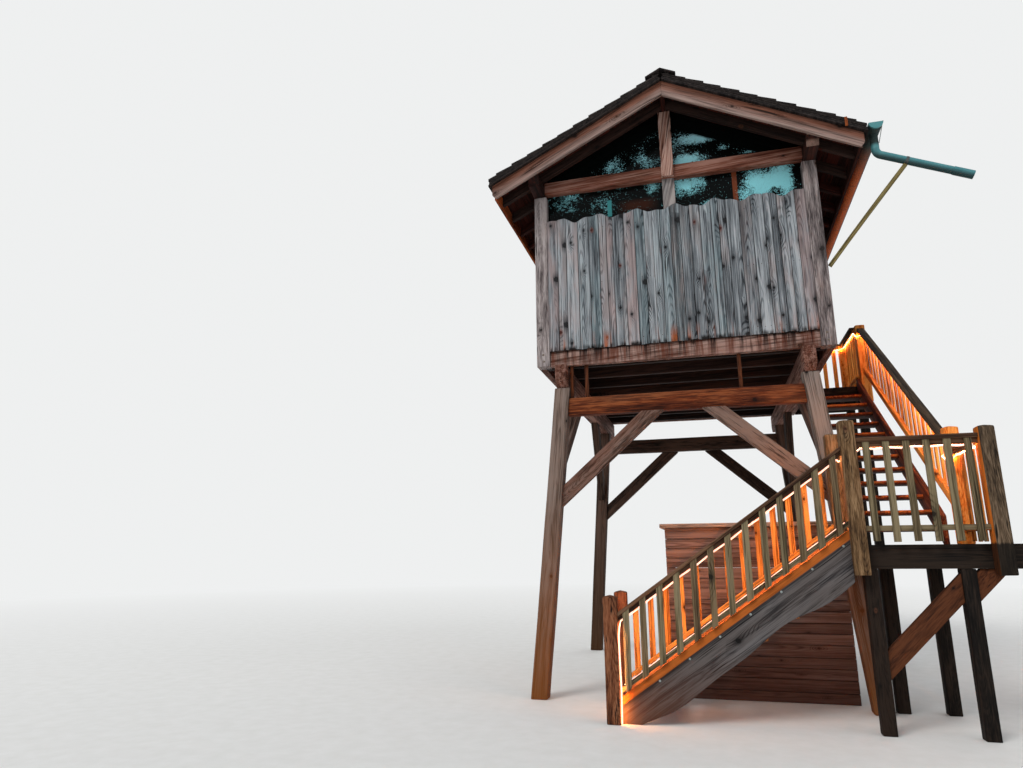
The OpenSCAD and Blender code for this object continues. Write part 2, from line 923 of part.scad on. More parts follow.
module lower_treads() {
    color("#7a4a32")
        difference() {
            for (i = [1 : lower_n - 1])
                translate([
                    lower_x + (i - 1) * lower_going,
                    front_y + string_t,
                    i * lower_rise - tread_t
                ])
                    cube([tread_d, lower_w - 2 * string_t, tread_t]);
            for (y = [rail_y, back_rail_y])
                translate([top_newel_x, y, landing_z / 2])
                    cube([newel_w, newel_w, landing_z], center = true);
        }
}

// A newel post with a low four-sided point on top
module newel(x, y, z0, z1, point = 18) {
    h = z1 - point;
    translate([x, y, 0])
        intersection() {
            front_slab(-newel_w / 2, newel_w / 2) newel_outline(z0, h, point);
            side_slab(-newel_w / 2, newel_w / 2) newel_outline(z0, h, point);
        }
}

module newel_outline(z0, h, point) {
    polygon([
        [-newel_w / 2, z0],
        [newel_w / 2, z0],
        [newel_w / 2, h],
        [0, h + point],
        [-newel_w / 2, h]
    ]);
}

module newel_posts() {
    post_top = rail_h + newel_up;
    foot_up = 85;
    top_up = 60;
    turn_up = 90;
    end_down = 40;
    gallery_top = floor_z + gallery_rail_h + 10;
    color("#8d7a66") {
        for (y = [rail_y, back_rail_y]) {
            newel(foot_newel_x, y, 0, lower_pitch(foot_newel_x) + post_top + foot_up);
            newel(top_newel_x, y, newel_low, landing_z + post_top + top_up);
        }
        newel(landing_newel_x, rail_y, newel_low, landing_z + post_top - end_down);
        newel(landing_newel_x, upper_foot_y, landing_z, landing_z + post_top + turn_up);
        newel(landing_newel_x, gallery_y - newel_w / 2, gallery_newel_low, gallery_top);
        newel(gallery_rail_x, gallery_end - newel_w / 2, floor_z, gallery_top);
    }
}

// One railing panel drawn in x and z over a pitch line of slope m through (x0, z0)
module rail_panel(x0, x1, z0, m, low, under, height = rail_h, low_d = low_rail_d) {
    count = max(1, round((x1 - x0) / baluster_step));
    step = (x1 - x0) / count;
    bars = [
        [hand_w, height - hand_d, height],
        [rail_t, height - hand_d - low_rail_d, height - hand_d],
        [rail_t, low, low + low_d]
    ];
    for (b = bars)
        front_slab(-b[0] / 2, b[0] / 2)
            polygon([
                [x0, z0 + b[1]],
                [x1, z0 + (x1 - x0) * m + b[1]],
                [x1, z0 + (x1 - x0) * m + b[2]],
                [x0, z0 + b[2]]
            ]);
    for (i = [0 : count - 1]) {
        xa = x0 + (i + 0.5) * step - baluster_w / 2;
        xb = xa + baluster_w;
        front_slab(-rail_t / 2 - baluster_t, -rail_t / 2)
            polygon([
                [xa, z0 + (xa - x0) * m + under],
                [xb, z0 + (xb - x0) * m + under],
                [xb, z0 + (xb - x0) * m + height - hand_d],
                [xa, z0 + (xa - x0) * m + height - hand_d]
            ]);
    }
}

// Both railings of the lower flight
module lower_railings() {
    x0 = foot_newel_x + newel_w / 2;
    x1 = top_newel_x - newel_w / 2;
    m = lower_rise / lower_going;
    color("#7c6f58") {
        translate([0, rail_y, 0])
            rail_panel(x0, x1, lower_pitch(x0), m, low_rail_up, low_rail_up - 20);
        translate([0, back_rail_y, 0]) mirror([0, 1, 0])
            rail_panel(x0, x1, lower_pitch(x0), m, low_rail_up, low_rail_up - 20);
    }
}

// The landing's deck, cut back round a newel post and the cabin's front leg
module landing_deck() {
    color("#6f6456")
        translate([0, 0, landing_z - deck_t])
            linear_extrude(deck_t)
                polygon([
                    [landing_x, deck_front],
                    [landing_end, deck_front],
                    [landing_end, upper_y],
                    [upper_x, upper_y],
                    [upper_x, landing_back],
                    [landing_x, landing_back]
                ]);
}

// The beams under the landing: a rim with joists, stepped back round the leg
module landing_frame() {
    low = landing_z - deck_t - deck_beam_d;
    high = landing_z - deck_t;
    t = deck_beam_t;
    color("#4f4236") {
        block([landing_x, deck_front, low], [landing_end, deck_front + t, high]);
        block([upper_x, upper_y - t, low], [landing_end, upper_y, high]);
        for (x = [upper_x, (upper_x + landing_end) / 2, landing_end - t])
            block([x, deck_front + t, low], [x + t, upper_y - t, high]);
        block([landing_x, deck_front + t, low], [landing_x + t, landing_back, high]);
        block([landing_x + t, landing_back - t, low], [upper_x, landing_back, high]);
    }
}

// Posts under the landing, clear of the cabin's leg
module landing_posts() {
    top = landing_z - deck_t - deck_beam_d;
    color("#5a4636") {
        for (x = [landing_x, upper_end - post_in])
            block([x, deck_front, 0], [x + deck_post_w, deck_front + deck_post_w, top]);
        for (x = [upper_x + post_out, upper_end - post_in])
            block([x, upper_y - deck_post_w, 0], [x + deck_post_w, upper_y, top]);
    }
}

// Braces between and beside the landing's front posts
module landing_braces() {
    top = landing_z - deck_t - deck_beam_d;
    xa = landing_x + deck_post_w;
    xb = upper_end - post_in;
    xc = xb + deck_post_w;
    knee = 150;
    low = top - (xb - xa) - knee;
    t = 70;
    set_in = 20;
    color("#7a4a30")
        front_slab(deck_front + set_in, deck_front + set_in + t) {
            intersection() {
                bar([xa, low], [xb, top - knee], brace_d);
                translate([xa, 0]) square([xb - xa, top]);
            }
            intersection() {
                bar([xc, top - knee], [xc + knee, top], brace_d);
                translate([xc, 0]) square([landing_end - xc, top]);
            }
        }
}

// Railings along the landing's front and its right end
module landing_railings() {
    x0 = top_newel_x + newel_w / 2;
    x1 = landing_newel_x - newel_w / 2;
    color("#8a7a5e") {
        translate([0, rail_y, 0]) rail_panel(x0, x1, landing_z, 0, low_rail_z, 20);
        translate([landing_newel_x, 0, 0]) rotate([0, 0, 90])
            rail_panel(rail_y + newel_w / 2, upper_foot_y - newel_w / 2, landing_z, 0, low_rail_z, 20);
    }
}

module upper_stringers() {
    deep = upper_string_d / upper_cos;
    y1 = gallery_y;
    color("#8a4a30")
        for (x = [upper_x, upper_end - string_t])
            side_slab(x, x + string_t)
                intersection() {
                    upper_strip(upper_string_up - deep, upper_string_up, upper_y - 2 * upper_going, y1);
                    translate([upper_y, landing_z]) square([y1 - upper_y, 2 * floor_z]);
                }
}

module upper_treads() {
    color("#8a4528")
        for (i = [1 : upper_n - 1])
            translate([
                upper_x + string_t,
                upper_y + (i - 1) * upper_going,
                landing_z + i * upper_rise - tread_t
            ])
                cube([upper_w - 2 * string_t, min(tread_d, upper_going), tread_t]);
}

// The railing on the outer side of the upper flight
module upper_railing() {
    y0 = upper_foot_y + newel_w / 2;
    y1 = gallery_y - newel_w;
    m = upper_rise / upper_going;
    color("#7a5238")
        translate([landing_newel_x, 0, 0]) rotate([0, 0, 90])
            rail_panel(y0, y1, upper_pitch(y0), m, 230, 190, rail_h, upper_rail_d);
}

module gallery_deck() {
    color("#6f6456")
        block([half_w, gallery_y, floor_z - deck_t], [gallery_x1, gallery_end, floor_z]);
}

module gallery_frame() {
    low = floor_z - deck_t - deck_beam_d;
    high = floor_z - deck_t;
    color("#4f4236") {
        for (y = [gallery_y, (gallery_y + gallery_end - deck_beam_t) / 2, gallery_end - deck_beam_t])
            block([half_w, y, low], [gallery_x1 - deck_beam_t, y + deck_beam_t, high]);
        block([gallery_x1 - deck_beam_t, gallery_y, low], [gallery_x1, gallery_end, high]);
    }
}

module gallery_posts() {
    top = floor_z - deck_t - deck_beam_d;
    color("#5a4636")
        for (y = [gallery_y, gallery_end - deck_post_w])
            block([gallery_x1 - deck_post_w, y, 0], [gallery_x1, y + deck_post_w, top]);
}

module gallery_railings() {
    x1 = gallery_rail_x - newel_w / 2;
    y1 = gallery_end - newel_w;
    color("#8a5a3a") {
        translate([gallery_rail_x, 0, 0]) rotate([0, 0, 90])
            rail_panel(gallery_y, y1, floor_z, 0, low_rail_z, 20, gallery_rail_h);
        translate([0, gallery_end - newel_w / 2, 0]) mirror([0, 1, 0])
            rail_panel(half_w, x1, floor_z, 0, low_rail_z, 20, gallery_rail_h);
    }
}

module store_walls() {
    color("#8a4f38")
        difference() {
            block([store_x, store_y, 0], [store_end, store_y + store_d, store_h]);
            block(
                [store_x + store_t, store_y + store_t, -1],
                [store_end - store_t, store_y + store_d - store_t, store_h + 1]
            );
        }
}

module store_lid() {
    color("#8f7a68")
        block(
            [store_x - lid_out, store_y - lid_out, store_h],
            [store_end, store_y + store_d + lid_out, store_h + lid_t]
        );
}

// The direction in which a route runs through its point i
function heading(p, i) =
    let(a = p[max(i - 1, 0)], b = p[min(i + 1, len(p) - 1)]) (b - a) / norm(b - a);

// The ring of n points at radius r round point i of a route
function ring(p, i, r, n) =
    let(
        d = heading(p, i),
        side = abs(d[2]) > 0.9 ? [1, 0, 0] : [0, 0, 1],
        u0 = cross(d, side),
        u = u0 / norm(u0),
        v = cross(d, u)
    )
    [for (k = [0 : n - 1]) p[i] + r * (cos(360 * k / n) * u + sin(360 * k / n) * v)];

// A closed tube of radius r along the points of a route
module tube_along(p, r, n = 8) {
    last = (len(p) - 1) * n;
    sides = [for (i = [0 : len(p) - 2], k = [0 : n - 1]) let(m = (k + 1) % n)
        each [
            [i * n + k, i * n + m, (i + 1) * n + m],
            [i * n + k, (i + 1) * n + m, (i + 1) * n + k]
        ]];
    caps = [for (k = [1 : n - 2]) each [[0, k + 1, k], [last, last + k, last + k + 1]]];
    polyhedron(
        points = [for (i = [0 : len(p) - 1]) each ring(p, i, r, n)],
        faces = concat(sides, caps)
    );
}

// Points of a sagging span, without its last one
function span(p, q, n, sag = 8) =
    [for (i = [0 : 2 * n - 1]) p + (q - p) * i / (2 * n) - [0, 0, i % 2 == 0 ? 0 : sag]];

// The rope light: one run under the handrails from the ground to the gallery, one along
// the inner side of the lower flight's lower rail
module rope_light() {
    below = rope_r + 0.5;
    under = rail_h - hand_d - low_rail_d - below;
    top_z = floor_z + gallery_rail_h - hand_d - low_rail_d - below;
    deck_z = landing_z + under;
    turn = 25;
    sag = 10;
    past = newel_w / 2 + rope_r + 6;
    clear = newel_w / 2 + rope_r + 3;
    foot_x0 = foot_newel_x + clear;
    foot_y0 = rail_y - newel_w / 2 + rope_r + 3;
    foot_z0 = lower_pitch(foot_x0) + under;
    xa = foot_x0 + 15;
    xb = top_newel_x - past - turn;
    xc = top_newel_x + past + turn;
    xd = landing_newel_x - past;
    xe = gallery_rail_x - past;
    x_in = landing_newel_x - clear;
    y_in = rail_y + clear;
    ya = upper_foot_y - past - turn;
    yb = upper_foot_y + past + turn;
    y_near = gallery_y - newel_w / 2;
    y_far = gallery_end - newel_w / 2;
    yc = y_near - past - turn;
    yd = y_near + past + turn;
    ye = y_far - past;
    route = concat(
        [
            [foot_x0, foot_y0, 15],
            [foot_x0 + 5, foot_y0, foot_z0 / 3],
            [foot_x0, foot_y0 + 2, foot_z0 * 2 / 3],
            [foot_x0, foot_y0, foot_z0 - 110],
            [foot_x0 + 6, foot_y0 + 18, foot_z0 - 35]
        ],
        span([xa, rail_y, lower_pitch(xa) + under], [xb, rail_y, lower_pitch(xb) + under], 7),
        [
            [xb, rail_y, lower_pitch(xb) + under],
            [top_newel_x - past, y_in, lower_pitch(xb) + under - sag],
            [top_newel_x + past, y_in, deck_z - 2 * sag]
        ],
        span([xc, rail_y, deck_z], [xd - turn, rail_y, deck_z], 4),
        [[xd - turn, rail_y, deck_z], [xd, y_in, deck_z - sag]],
        span([landing_newel_x - turn, y_in + turn, deck_z], [landing_newel_x, ya, deck_z], 3),
        [
            [landing_newel_x, ya, deck_z],
            [x_in, upper_foot_y - past, deck_z - 6 * sag],
            [x_in, upper_foot_y + past, deck_z + sag]
        ],
        span(
            [landing_newel_x, yb, upper_pitch(yb) + under],
            [landing_newel_x, yc, upper_pitch(yc) + under], 14
        ),
        [
            [landing_newel_x, yc, upper_pitch(yc) + under],
            [x_in, y_near - past, upper_pitch(yc) + under - sag],
            [x_in, y_near + past, top_z - sag]
        ],
        span([gallery_rail_x, yd, top_z], [gallery_rail_x, ye - turn, top_z], 3),
        [[gallery_rail_x, ye - turn, top_z], [xe, ye, top_z - 2 * sag]],
        span([xe - turn, y_far, top_z], [half_w + 30, y_far, top_z], 3),
        [[half_w + 30, y_far, top_z]]
    );
    y_low = rail_y + rail_t / 2 + below;
    over = low_rail_up + low_rail_d - 1;
    x0 = foot_x0 + turn;
    x1 = top_newel_x - past - sag;
    low_end = [x1, y_low, lower_pitch(x1) + over];
    color("#ffb060") {
        tube_along(route, rope_r);
        tube_along(concat(span([x0, y_low, lower_pitch(x0) + over], low_end, 7, 4), [low_end]), rope_r);
    }
}

placed() legs();
placed() lower_ties();
placed() knee_braces();
placed() sill_beams();
placed() floor_joists();
placed() rim_beams();
placed() floor_deck();
placed() corner_posts();
placed() front_boards();
placed() back_boards();
placed() gable_rails();
placed() gable_studs();
placed() upper_ties();
placed() king_posts();
placed() gable_glass();
placed() left_wall();
placed() right_wall();
placed() wall_over_door();
placed() door();
placed() roof_beams();
placed() rafters();
placed() bargeboards_left();
placed() bargeboards_right();
placed() roof_boards();
placed() shingles();
placed() ridge_cap();
placed() fascias();
placed() gutter();
placed() pipe_elbow();
placed() rain_pipe();
placed() pipe_prop();
placed() hanger_laths();
placed() lower_stringers();
placed() lower_treads();
placed() newel_posts();
placed() lower_railings();
placed() landing_deck();
placed() landing_frame();
placed() landing_posts();
placed() landing_braces();
placed() landing_railings();
placed() upper_stringers();
placed() upper_treads();
placed() upper_railing();
placed() gallery_deck();
placed() gallery_frame();
placed() gallery_posts();
placed() gallery_railings();
placed() store_walls();
placed() store_lid();
placed() rope_light();
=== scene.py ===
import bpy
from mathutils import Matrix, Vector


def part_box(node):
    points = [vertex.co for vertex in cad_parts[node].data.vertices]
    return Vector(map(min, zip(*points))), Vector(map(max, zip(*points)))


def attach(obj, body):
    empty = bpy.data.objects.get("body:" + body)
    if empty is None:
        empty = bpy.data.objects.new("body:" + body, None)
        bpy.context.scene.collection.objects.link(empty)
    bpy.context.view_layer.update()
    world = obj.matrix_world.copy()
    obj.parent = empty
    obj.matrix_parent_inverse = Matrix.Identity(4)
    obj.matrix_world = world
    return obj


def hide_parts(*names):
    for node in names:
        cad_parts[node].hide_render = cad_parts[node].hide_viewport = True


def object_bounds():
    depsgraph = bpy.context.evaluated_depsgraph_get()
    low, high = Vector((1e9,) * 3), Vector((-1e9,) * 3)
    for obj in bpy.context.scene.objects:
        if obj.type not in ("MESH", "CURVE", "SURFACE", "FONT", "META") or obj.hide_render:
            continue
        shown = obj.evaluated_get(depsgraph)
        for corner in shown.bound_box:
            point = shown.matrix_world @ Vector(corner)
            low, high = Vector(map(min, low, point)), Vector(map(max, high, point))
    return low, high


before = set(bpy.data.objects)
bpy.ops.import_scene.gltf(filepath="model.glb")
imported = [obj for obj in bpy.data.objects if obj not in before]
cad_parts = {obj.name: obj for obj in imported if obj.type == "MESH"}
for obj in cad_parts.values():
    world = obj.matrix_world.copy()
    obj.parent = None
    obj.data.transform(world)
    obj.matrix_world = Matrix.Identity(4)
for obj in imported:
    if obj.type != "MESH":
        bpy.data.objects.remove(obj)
cad_box = [list(corner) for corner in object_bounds()]

import math
import random

import bmesh
import bpy
import numpy as np
from mathutils import Matrix, Vector, noise

WELD, FLAT = 1e-5, 0.01  # metres between equal points, radians between flat faces

# Working coordinates: x = 0 in the middle of the cabin's front, y = 0 at its face, z = 0 on the
# ground. SHIFT takes them to the row's frame. All lengths are in metres.
post_low, post_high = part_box("corner_posts")
gutter_low, gutter_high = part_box("gutter")
SHIFT = Vector(((post_low.x + post_high.x) / 2, post_low.y, 0))
ALONG_X, ALONG_Y, UP, FRONT = (1, 0, 0), (0, 1, 0), (0, 0, 1), (0, -1, 0)
SEED = 11
rnd = random.Random(SEED)
noise.seed_set(SEED)

# Cabin
HALF_W, DEPTH, FLOOR_Z, POST_W = 1.6, 4.1, 3.72, 0.15
INNER_X = HALF_W - POST_W
BOARD_T, BOARD_H = 0.026, 1.6
PLATE_Z, TIE_Z = 5.66, 5.695
WALL_X, WALL_T = 1.48, 0.1
DOOR_Y0, DOOR_Y1, DOOR_W, DOOR_H, DOOR_T = 3.14, 3.89, 0.75, 1.8, 0.044
LEDGE_T, LEDGE_H = 0.018, 0.11
RIM_T, FLOOR_T, DECK_T, BEAM_D, BEAM_T = 0.08, 0.04, 0.04, 0.16, 0.06
# Roof
RIDGE_Z, PITCH, OVERHANG, EAVE_X = 6.683, math.radians(26.8), 0.42, 2.01
SLOPE, PLUMB = math.tan(PITCH), 1 / math.cos(PITCH)
ROOF_T, COVER_T, COURSE_T, COURSE_N, COVER_OUT = 0.025, 0.062, 0.045, 11, 0.04
COVER_X, BARGE_T = EAVE_X + COVER_OUT, 0.04
CAP_W, CAP_T, CAP_N = 0.17, 0.028, 15
SHINGLE_T, SHINGLE_EDGE, SHINGLE_WIDTHS = 0.020, 0.005, (0.075, 0.17)
STRAP_X, STRAP_Z = (1.835, 1.861), (5.737, 5.842)
ROOF_Y0, ROOF_Y1 = -OVERHANG, DEPTH + OVERHANG
# Stairs, landing and gallery
LANDING_Z, LANDING_X, LANDING_END = 1.5, 1.42, 2.66
FRONT_Y, LOWER_BACK, UPPER_FOOT_Y = -1.0, -0.15, -0.15
LOWER_GOING, LOWER_N, UPPER_GOING, UPPER_N = 0.265, 8, 0.248, 13
LOWER_RISE, UPPER_RISE = LANDING_Z / LOWER_N, 2.22 / UPPER_N
LOWER_M, UPPER_M = LOWER_RISE / LOWER_GOING, UPPER_RISE / UPPER_GOING
UPPER_X, UPPER_END = 1.605, 2.39
NEWEL_W, RAIL_H, GALLERY_RAIL_H = 0.125, 0.9, 0.87
HAND_D, HAND_W, RAIL_T, RAIL_D, UPPER_RAIL_D = 0.038, 0.096, 0.04, 0.045, 0.09
BAL_W, BAL_T, BAL_STEP = 0.058, 0.022, 0.15
RAIL_LOW, BAL_LOW = 0.11, 0.02
GALLERY_D = 0.95
GALLERY_Y = DEPTH - POST_W - GALLERY_D + NEWEL_W / 2
GALLERY_END, GALLERY_X1 = GALLERY_Y + GALLERY_D, UPPER_END + 0.06
UPPER_Y = GALLERY_Y - (UPPER_N - 1) * UPPER_GOING
LOWER_X = LANDING_X - (LOWER_N - 1) * LOWER_GOING
DECK_FRONT = FRONT_Y + NEWEL_W / 2
LANDING_BACK = LOWER_BACK - NEWEL_W
FOOT_X, TOP_X = LOWER_X - 0.287, LANDING_X - 0.025
END_X = UPPER_END + NEWEL_W / 2
GALLERY_RAIL_X = END_X - 0.068
BACK_RAIL_Y = LOWER_BACK - NEWEL_W / 2
STRING_UP = 0.152 / math.cos(math.atan2(LOWER_RISE, LOWER_GOING))
# Store
STORE_X, STORE_END, STORE_Y, STORE_D, STORE_H, STORE_T = -0.28, 1.48, 0.26, 1.1, 1.7, 0.04
LID_T, LID_OUT = 0.045, 0.05


def at(x, y, z):
    return Vector((x, y, z)) + SHIFT


def roof_z(x):
    return RIDGE_Z - abs(x) * SLOPE


def board_wave(x):
    """The height of the wave in the gable boards' tops."""
    return 0.028 * math.sin(math.radians(x * 780 + 40)) + 0.014 * math.sin(math.radians(1700 * x))


# ---- materials
def srgb(r, g, b):
    def line(c):
        c /= 255
        return c / 12.92 if c <= 0.04045 else ((c + 0.055) / 1.055) ** 2.4
    return (line(r), line(g), line(b), 1.0)


BLACK = (0.0, 0.0, 0.0, 1.0)
CRACK_DARK = (0.004, 0.003, 0.002, 1.0)
# painted shade below, and the dark joints in the gutter's rust
PAINTED_SHADE_AND_JOINT_DARK = (0.01, 0.006, 0.004, 1.0)
PAPER = (0.86, 0.87, 0.87, 1.0)
TURN = 6.2832
KNOTS_ALONG, KNOTS_ACROSS = 1.7, 7.5  # places for knots in a metre
RINGS = 850.0  # growth rings in a square metre round the heart
MIDDLE = 0.47  # the grain value with the middle colour


class Value:
    """A node's output. Arithmetic on values adds math nodes."""

    def __init__(self, tree, socket):
        self.tree, self.socket = tree, socket

    def __add__(self, other):
        return self.tree.math("ADD", self, other)

    def __sub__(self, other):
        return self.tree.math("SUBTRACT", self, other)

    def __mul__(self, other):
        return self.tree.math("MULTIPLY", self, other)

    def __truediv__(self, other):
        return self.tree.math("DIVIDE", self, other)

    def __abs__(self):
        return self.tree.math("ABSOLUTE", self)


class Tree:
    """Builds a node tree by calls that return values."""

    def __init__(self, owner):
        owner.use_nodes = True
        self.owner, self.nodes, self.links = owner, owner.node_tree.nodes, owner.node_tree.links

    def put(self, socket, value):
        value = getattr(value, "socket", value)
        if isinstance(value, bpy.types.NodeSocket):
            self.links.new(value, socket)
        elif value is not None:
            socket.default_value = value

    def node(self, kind, inputs=None, out=0, **settings):
        """Adds a node and gives its output, or a list of outputs where out is a tuple."""
        n = self.nodes.new(kind)
        for key, value in settings.items():
            setattr(n, key, value)
        for key, value in (inputs or {}).items():
            self.put(n.inputs[key], value)
        if isinstance(out, tuple):
            return [Value(self, n.outputs[key]) for key in out]
        return Value(self, n.outputs[out])

    def attr(self, name, out="Vector"):
        return self.node("ShaderNodeAttribute", out=out, attribute_name=name)

    def split(self, vector):
        return self.node("ShaderNodeSeparateXYZ", {0: vector}, (0, 1, 2))

    def vector(self, op, a, b=None, out=0):
        return self.node("ShaderNodeVectorMath", {0: a, 1: b}, out, operation=op)

    def scale(self, vector, by):
        return self.vector("MULTIPLY", vector, by)

    def shift(self, vector, by):
        return self.vector("ADD", vector, by)

    def dot(self, a, b):
        return self.vector("DOT_PRODUCT", a, b, "Value")

    def length(self, vector):
        return self.vector("LENGTH", vector, out="Value")

    def noise(self, vector, scale, detail=4.0, rough=0.55, distortion=0.0, out="Fac"):
        return self.node("ShaderNodeTexNoise", {
            "Vector": vector, "Scale": scale, "Detail": detail, "Roughness": rough,
            "Distortion": distortion}, out)

    def math(self, op, a, b=0.0):
        return self.node("ShaderNodeMath", {0: a, 1: b}, operation=op)

    def span(self, value, lo, hi, a=0.0, b=1.0):
        return self.node("ShaderNodeMapRange", {
            "Value": value, "From Min": lo, "From Max": hi, "To Min": a, "To Max": b},
            clamp=True)

    def mix(self, fac, a, b, blend="MIX"):
        return self.node("ShaderNodeMix", {0: fac, 6: a, 7: b}, 2, data_type="RGBA",
                         blend_type=blend)

    def ramp(self, value, stops):
        out = self.node("ShaderNodeValToRGB", {0: value})
        elements = out.socket.node.color_ramp.elements
        while len(elements) < len(stops):
            elements.new(0.5)
        for e, (pos, col) in zip(elements, stops):
            e.position, e.color = pos, col
        return out

    def bump(self, height, strength, distance):
        return self.node("ShaderNodeBump", {
            "Strength": strength, "Distance": distance, "Height": height})

    def finish(self, color, rough, normal=None, metallic=0.0, specular=0.35):
        """Sets the shader's inputs and gives back its material."""
        values = {"Base Color": color, "Roughness": rough, "Normal": normal, "Metallic": metallic,
                  "Specular IOR Level": specular}
        for key, value in values.items():
            self.put(self.nodes["Principled BSDF"].inputs[key], value)
        return self.owner


def new_tree(name):
    """A new material's tree, with the position and the normal of its surface."""
    t = Tree(bpy.data.materials.new(name))
    return t, *t.node("ShaderNodeNewGeometry", out=("Position", "Normal"))


def wood(name, dark, mid, light, other, patch=0.5, knots=0.5, cracks=0.6, fibre=1.0, bump=1.0,
         foot=None, streak=(), under=0.0, rust=(0.16, 0.06, 0.03, 1.0), knot_size=(0.008, 0.024),
         edge=0.0, third=None, strip=None, grade=None, lit=None, gain=1.4, nosing=False,
         rings=(1.0, 2.6), patchy=0.45, seam=0.011):
    """Weathered timber. The grain attribute holds metres along and across the member.

    other and third are tints that some members and patches take. foot, streak and grade tint by
    height, strip paints the rope's orange light along a plane over a painted shadow band, lit
    paints light on the side that faces one way, and under and nosing are painted shade on faces
    that look down and on the lower half of a nosing.
    """
    t, place, normal = new_tree(name)
    grain, tone = t.attr("grain"), t.attr("tone", "Fac")
    side, _, height = t.split(place)
    x, y, z = t.split(grain)

    def lines(source, along, across, *more, **named):
        return t.noise(t.scale(source, (along, across, across)), *more, **named)

    # knots: round spots with a long halo that pushes the grain lines aside
    flat = t.node("ShaderNodeCombineXYZ", {0: x * KNOTS_ALONG, 1: (y + z) * KNOTS_ACROSS})
    cell, lot = t.node("ShaderNodeTexVoronoi", {"Vector": flat, "Scale": 1.0, "Randomness": 0.85},
                       ("Position", "Color"), feature="F1", voronoi_dimensions="2D")
    away = t.vector("SUBTRACT", flat, cell)
    kx, kw, _ = t.split(t.scale(away, (1 / KNOTS_ALONG, 1 / KNOTS_ACROSS, 0.0)))
    lot = t.split(lot)
    chosen = t.math("GREATER_THAN", lot[0], 1.0 - 0.5 * knots)
    size = t.span(t.math("POWER", lot[1], 1.6), 0.0, 1.0, *knot_size)
    rusty = t.math("GREATER_THAN", lot[2], 0.72)

    def sizes_away(along):
        return t.math("SQRT", along * along + kw * kw) / size

    def spot(value, lo, hi):
        return t.span(value, lo, hi, 1.0, 0.0) * chosen

    jag = lines(grain, 30.0, 60.0, 1.0, 3.0, 0.6)
    near = sizes_away(kx) + (jag - 0.5) * 1.1
    wide = sizes_away(kx * 0.30)
    knot = spot(near, 0.75, 1.15)
    rim = spot(near * 0.45 + wide * 0.55, 0.7, 1.9)
    halo = spot(wide, 0.3, 2.9)

    # growth rings, strong in some stretches and faint in others
    drift = lines(grain, 1.1, 5.0, 1.0, 2.0)
    off = y - (tone - 0.5) * 0.14
    phase = (off * off + z * z) * RINGS + x * rings[1] + drift * 6.0 + halo * 3.2
    late = t.span(t.math("SINE", phase * TURN), -0.1, 1.0)
    bend = lines(grain, 0.7, 2.2, 1.6, 2.0, out="Color")
    bent = t.shift(grain, t.scale(bend, (0.0, 0.02, 0.02)))
    late = late * (halo * (0.34 / gain) + 0.24 * rings[0] / gain ** 1.5)
    late = late * t.span(lines(bent, 0.8, 7.0, 1.7, 2.0), 0.42, 0.60, 0.22, 1.0)

    # fibres and patches
    fine = lines(bent, 2.2, 120.0, 1.0, 4.0, 0.6)
    coarse = lines(bent, 0.7, 26.0, 1.0, 4.0, 0.62)
    blotch = lines(bent, 1.0, 4.5, 1.3, 5.0, 0.62)
    wobble = coarse - 0.5
    value = t.span(fine, 0.32, 0.68) * (0.34 * fibre) + t.span(coarse, 0.33, 0.67) * 0.40
    value = value - late + t.span(blotch, 0.34, 0.66) * 0.22 + tone * 0.24
    value = value * gain + MIDDLE * (1 - gain)

    def grained(tint, share, shade=BLACK, low=0.1):
        """A tint that is darker where the grain is."""
        return t.mix(t.span(value, low, 0.8), t.mix(share, tint, shade), tint)

    color = t.ramp(value, ((0.12, dark), (MIDDLE, mid), (0.84, light)))
    turn = t.math("FRACT", tone * 7.31) * (1 - patchy) + t.span(blotch, 0.3, 0.7) * patchy
    tinted = t.mix(0.75, color, grained(other, 0.5, dark))
    color = t.mix(t.span(turn, 0.40, 0.66, 0.0, patch), color, tinted)
    if third is not None:
        tint, share = third
        cast = t.span(lines(bent, 1.3, 6.0, 1.0, 3.0, 0.6), 0.3, 0.7)
        cast = t.math("FRACT", tone * 13.7) * 0.45 + cast * 0.55
        color = t.mix(t.span(cast, 0.46, 0.66, 0.0, share), color, tint, "SOFT_LIGHT")
    if grade is not None:
        low_tint, high_tint, z0, z1 = grade
        level = height + abs(side - SHIFT.x) * SLOPE + wobble * 0.16
        shade = t.mix(t.span(level, z0, z1), low_tint, high_tint)
        color = t.mix(0.8, color, grained(shade, 0.72, low=0.15))

    # cracks and knots
    slit = lines(bent, 0.9, 50.0, 1.0, 2.0, 0.5, 0.3)
    crack = t.span(slit, 0.61, 0.69) * t.span(coarse, 0.38, 0.56) * cracks
    deep = t.mix(0.75, dark, CRACK_DARK)
    color = t.mix(crack, color, deep)
    color = t.mix(halo * 0.38, color, dark)
    color = t.mix(rim * 0.62, color, t.mix(rusty * 0.7, dark, rust))
    eye = t.span(t.math("SINE", near * 16.0), -0.2, 0.9, 0.0, 0.7)
    color = t.mix(knot * 0.9, color, t.mix(eye, deep, t.mix(rusty * 0.8, dark, rust)))
    if edge:
        brink = t.attr("half", "Fac") - abs(y) + wobble * 0.012
        color = t.mix(t.span(brink, 0.0005, seam, edge, 0.0), color, deep)
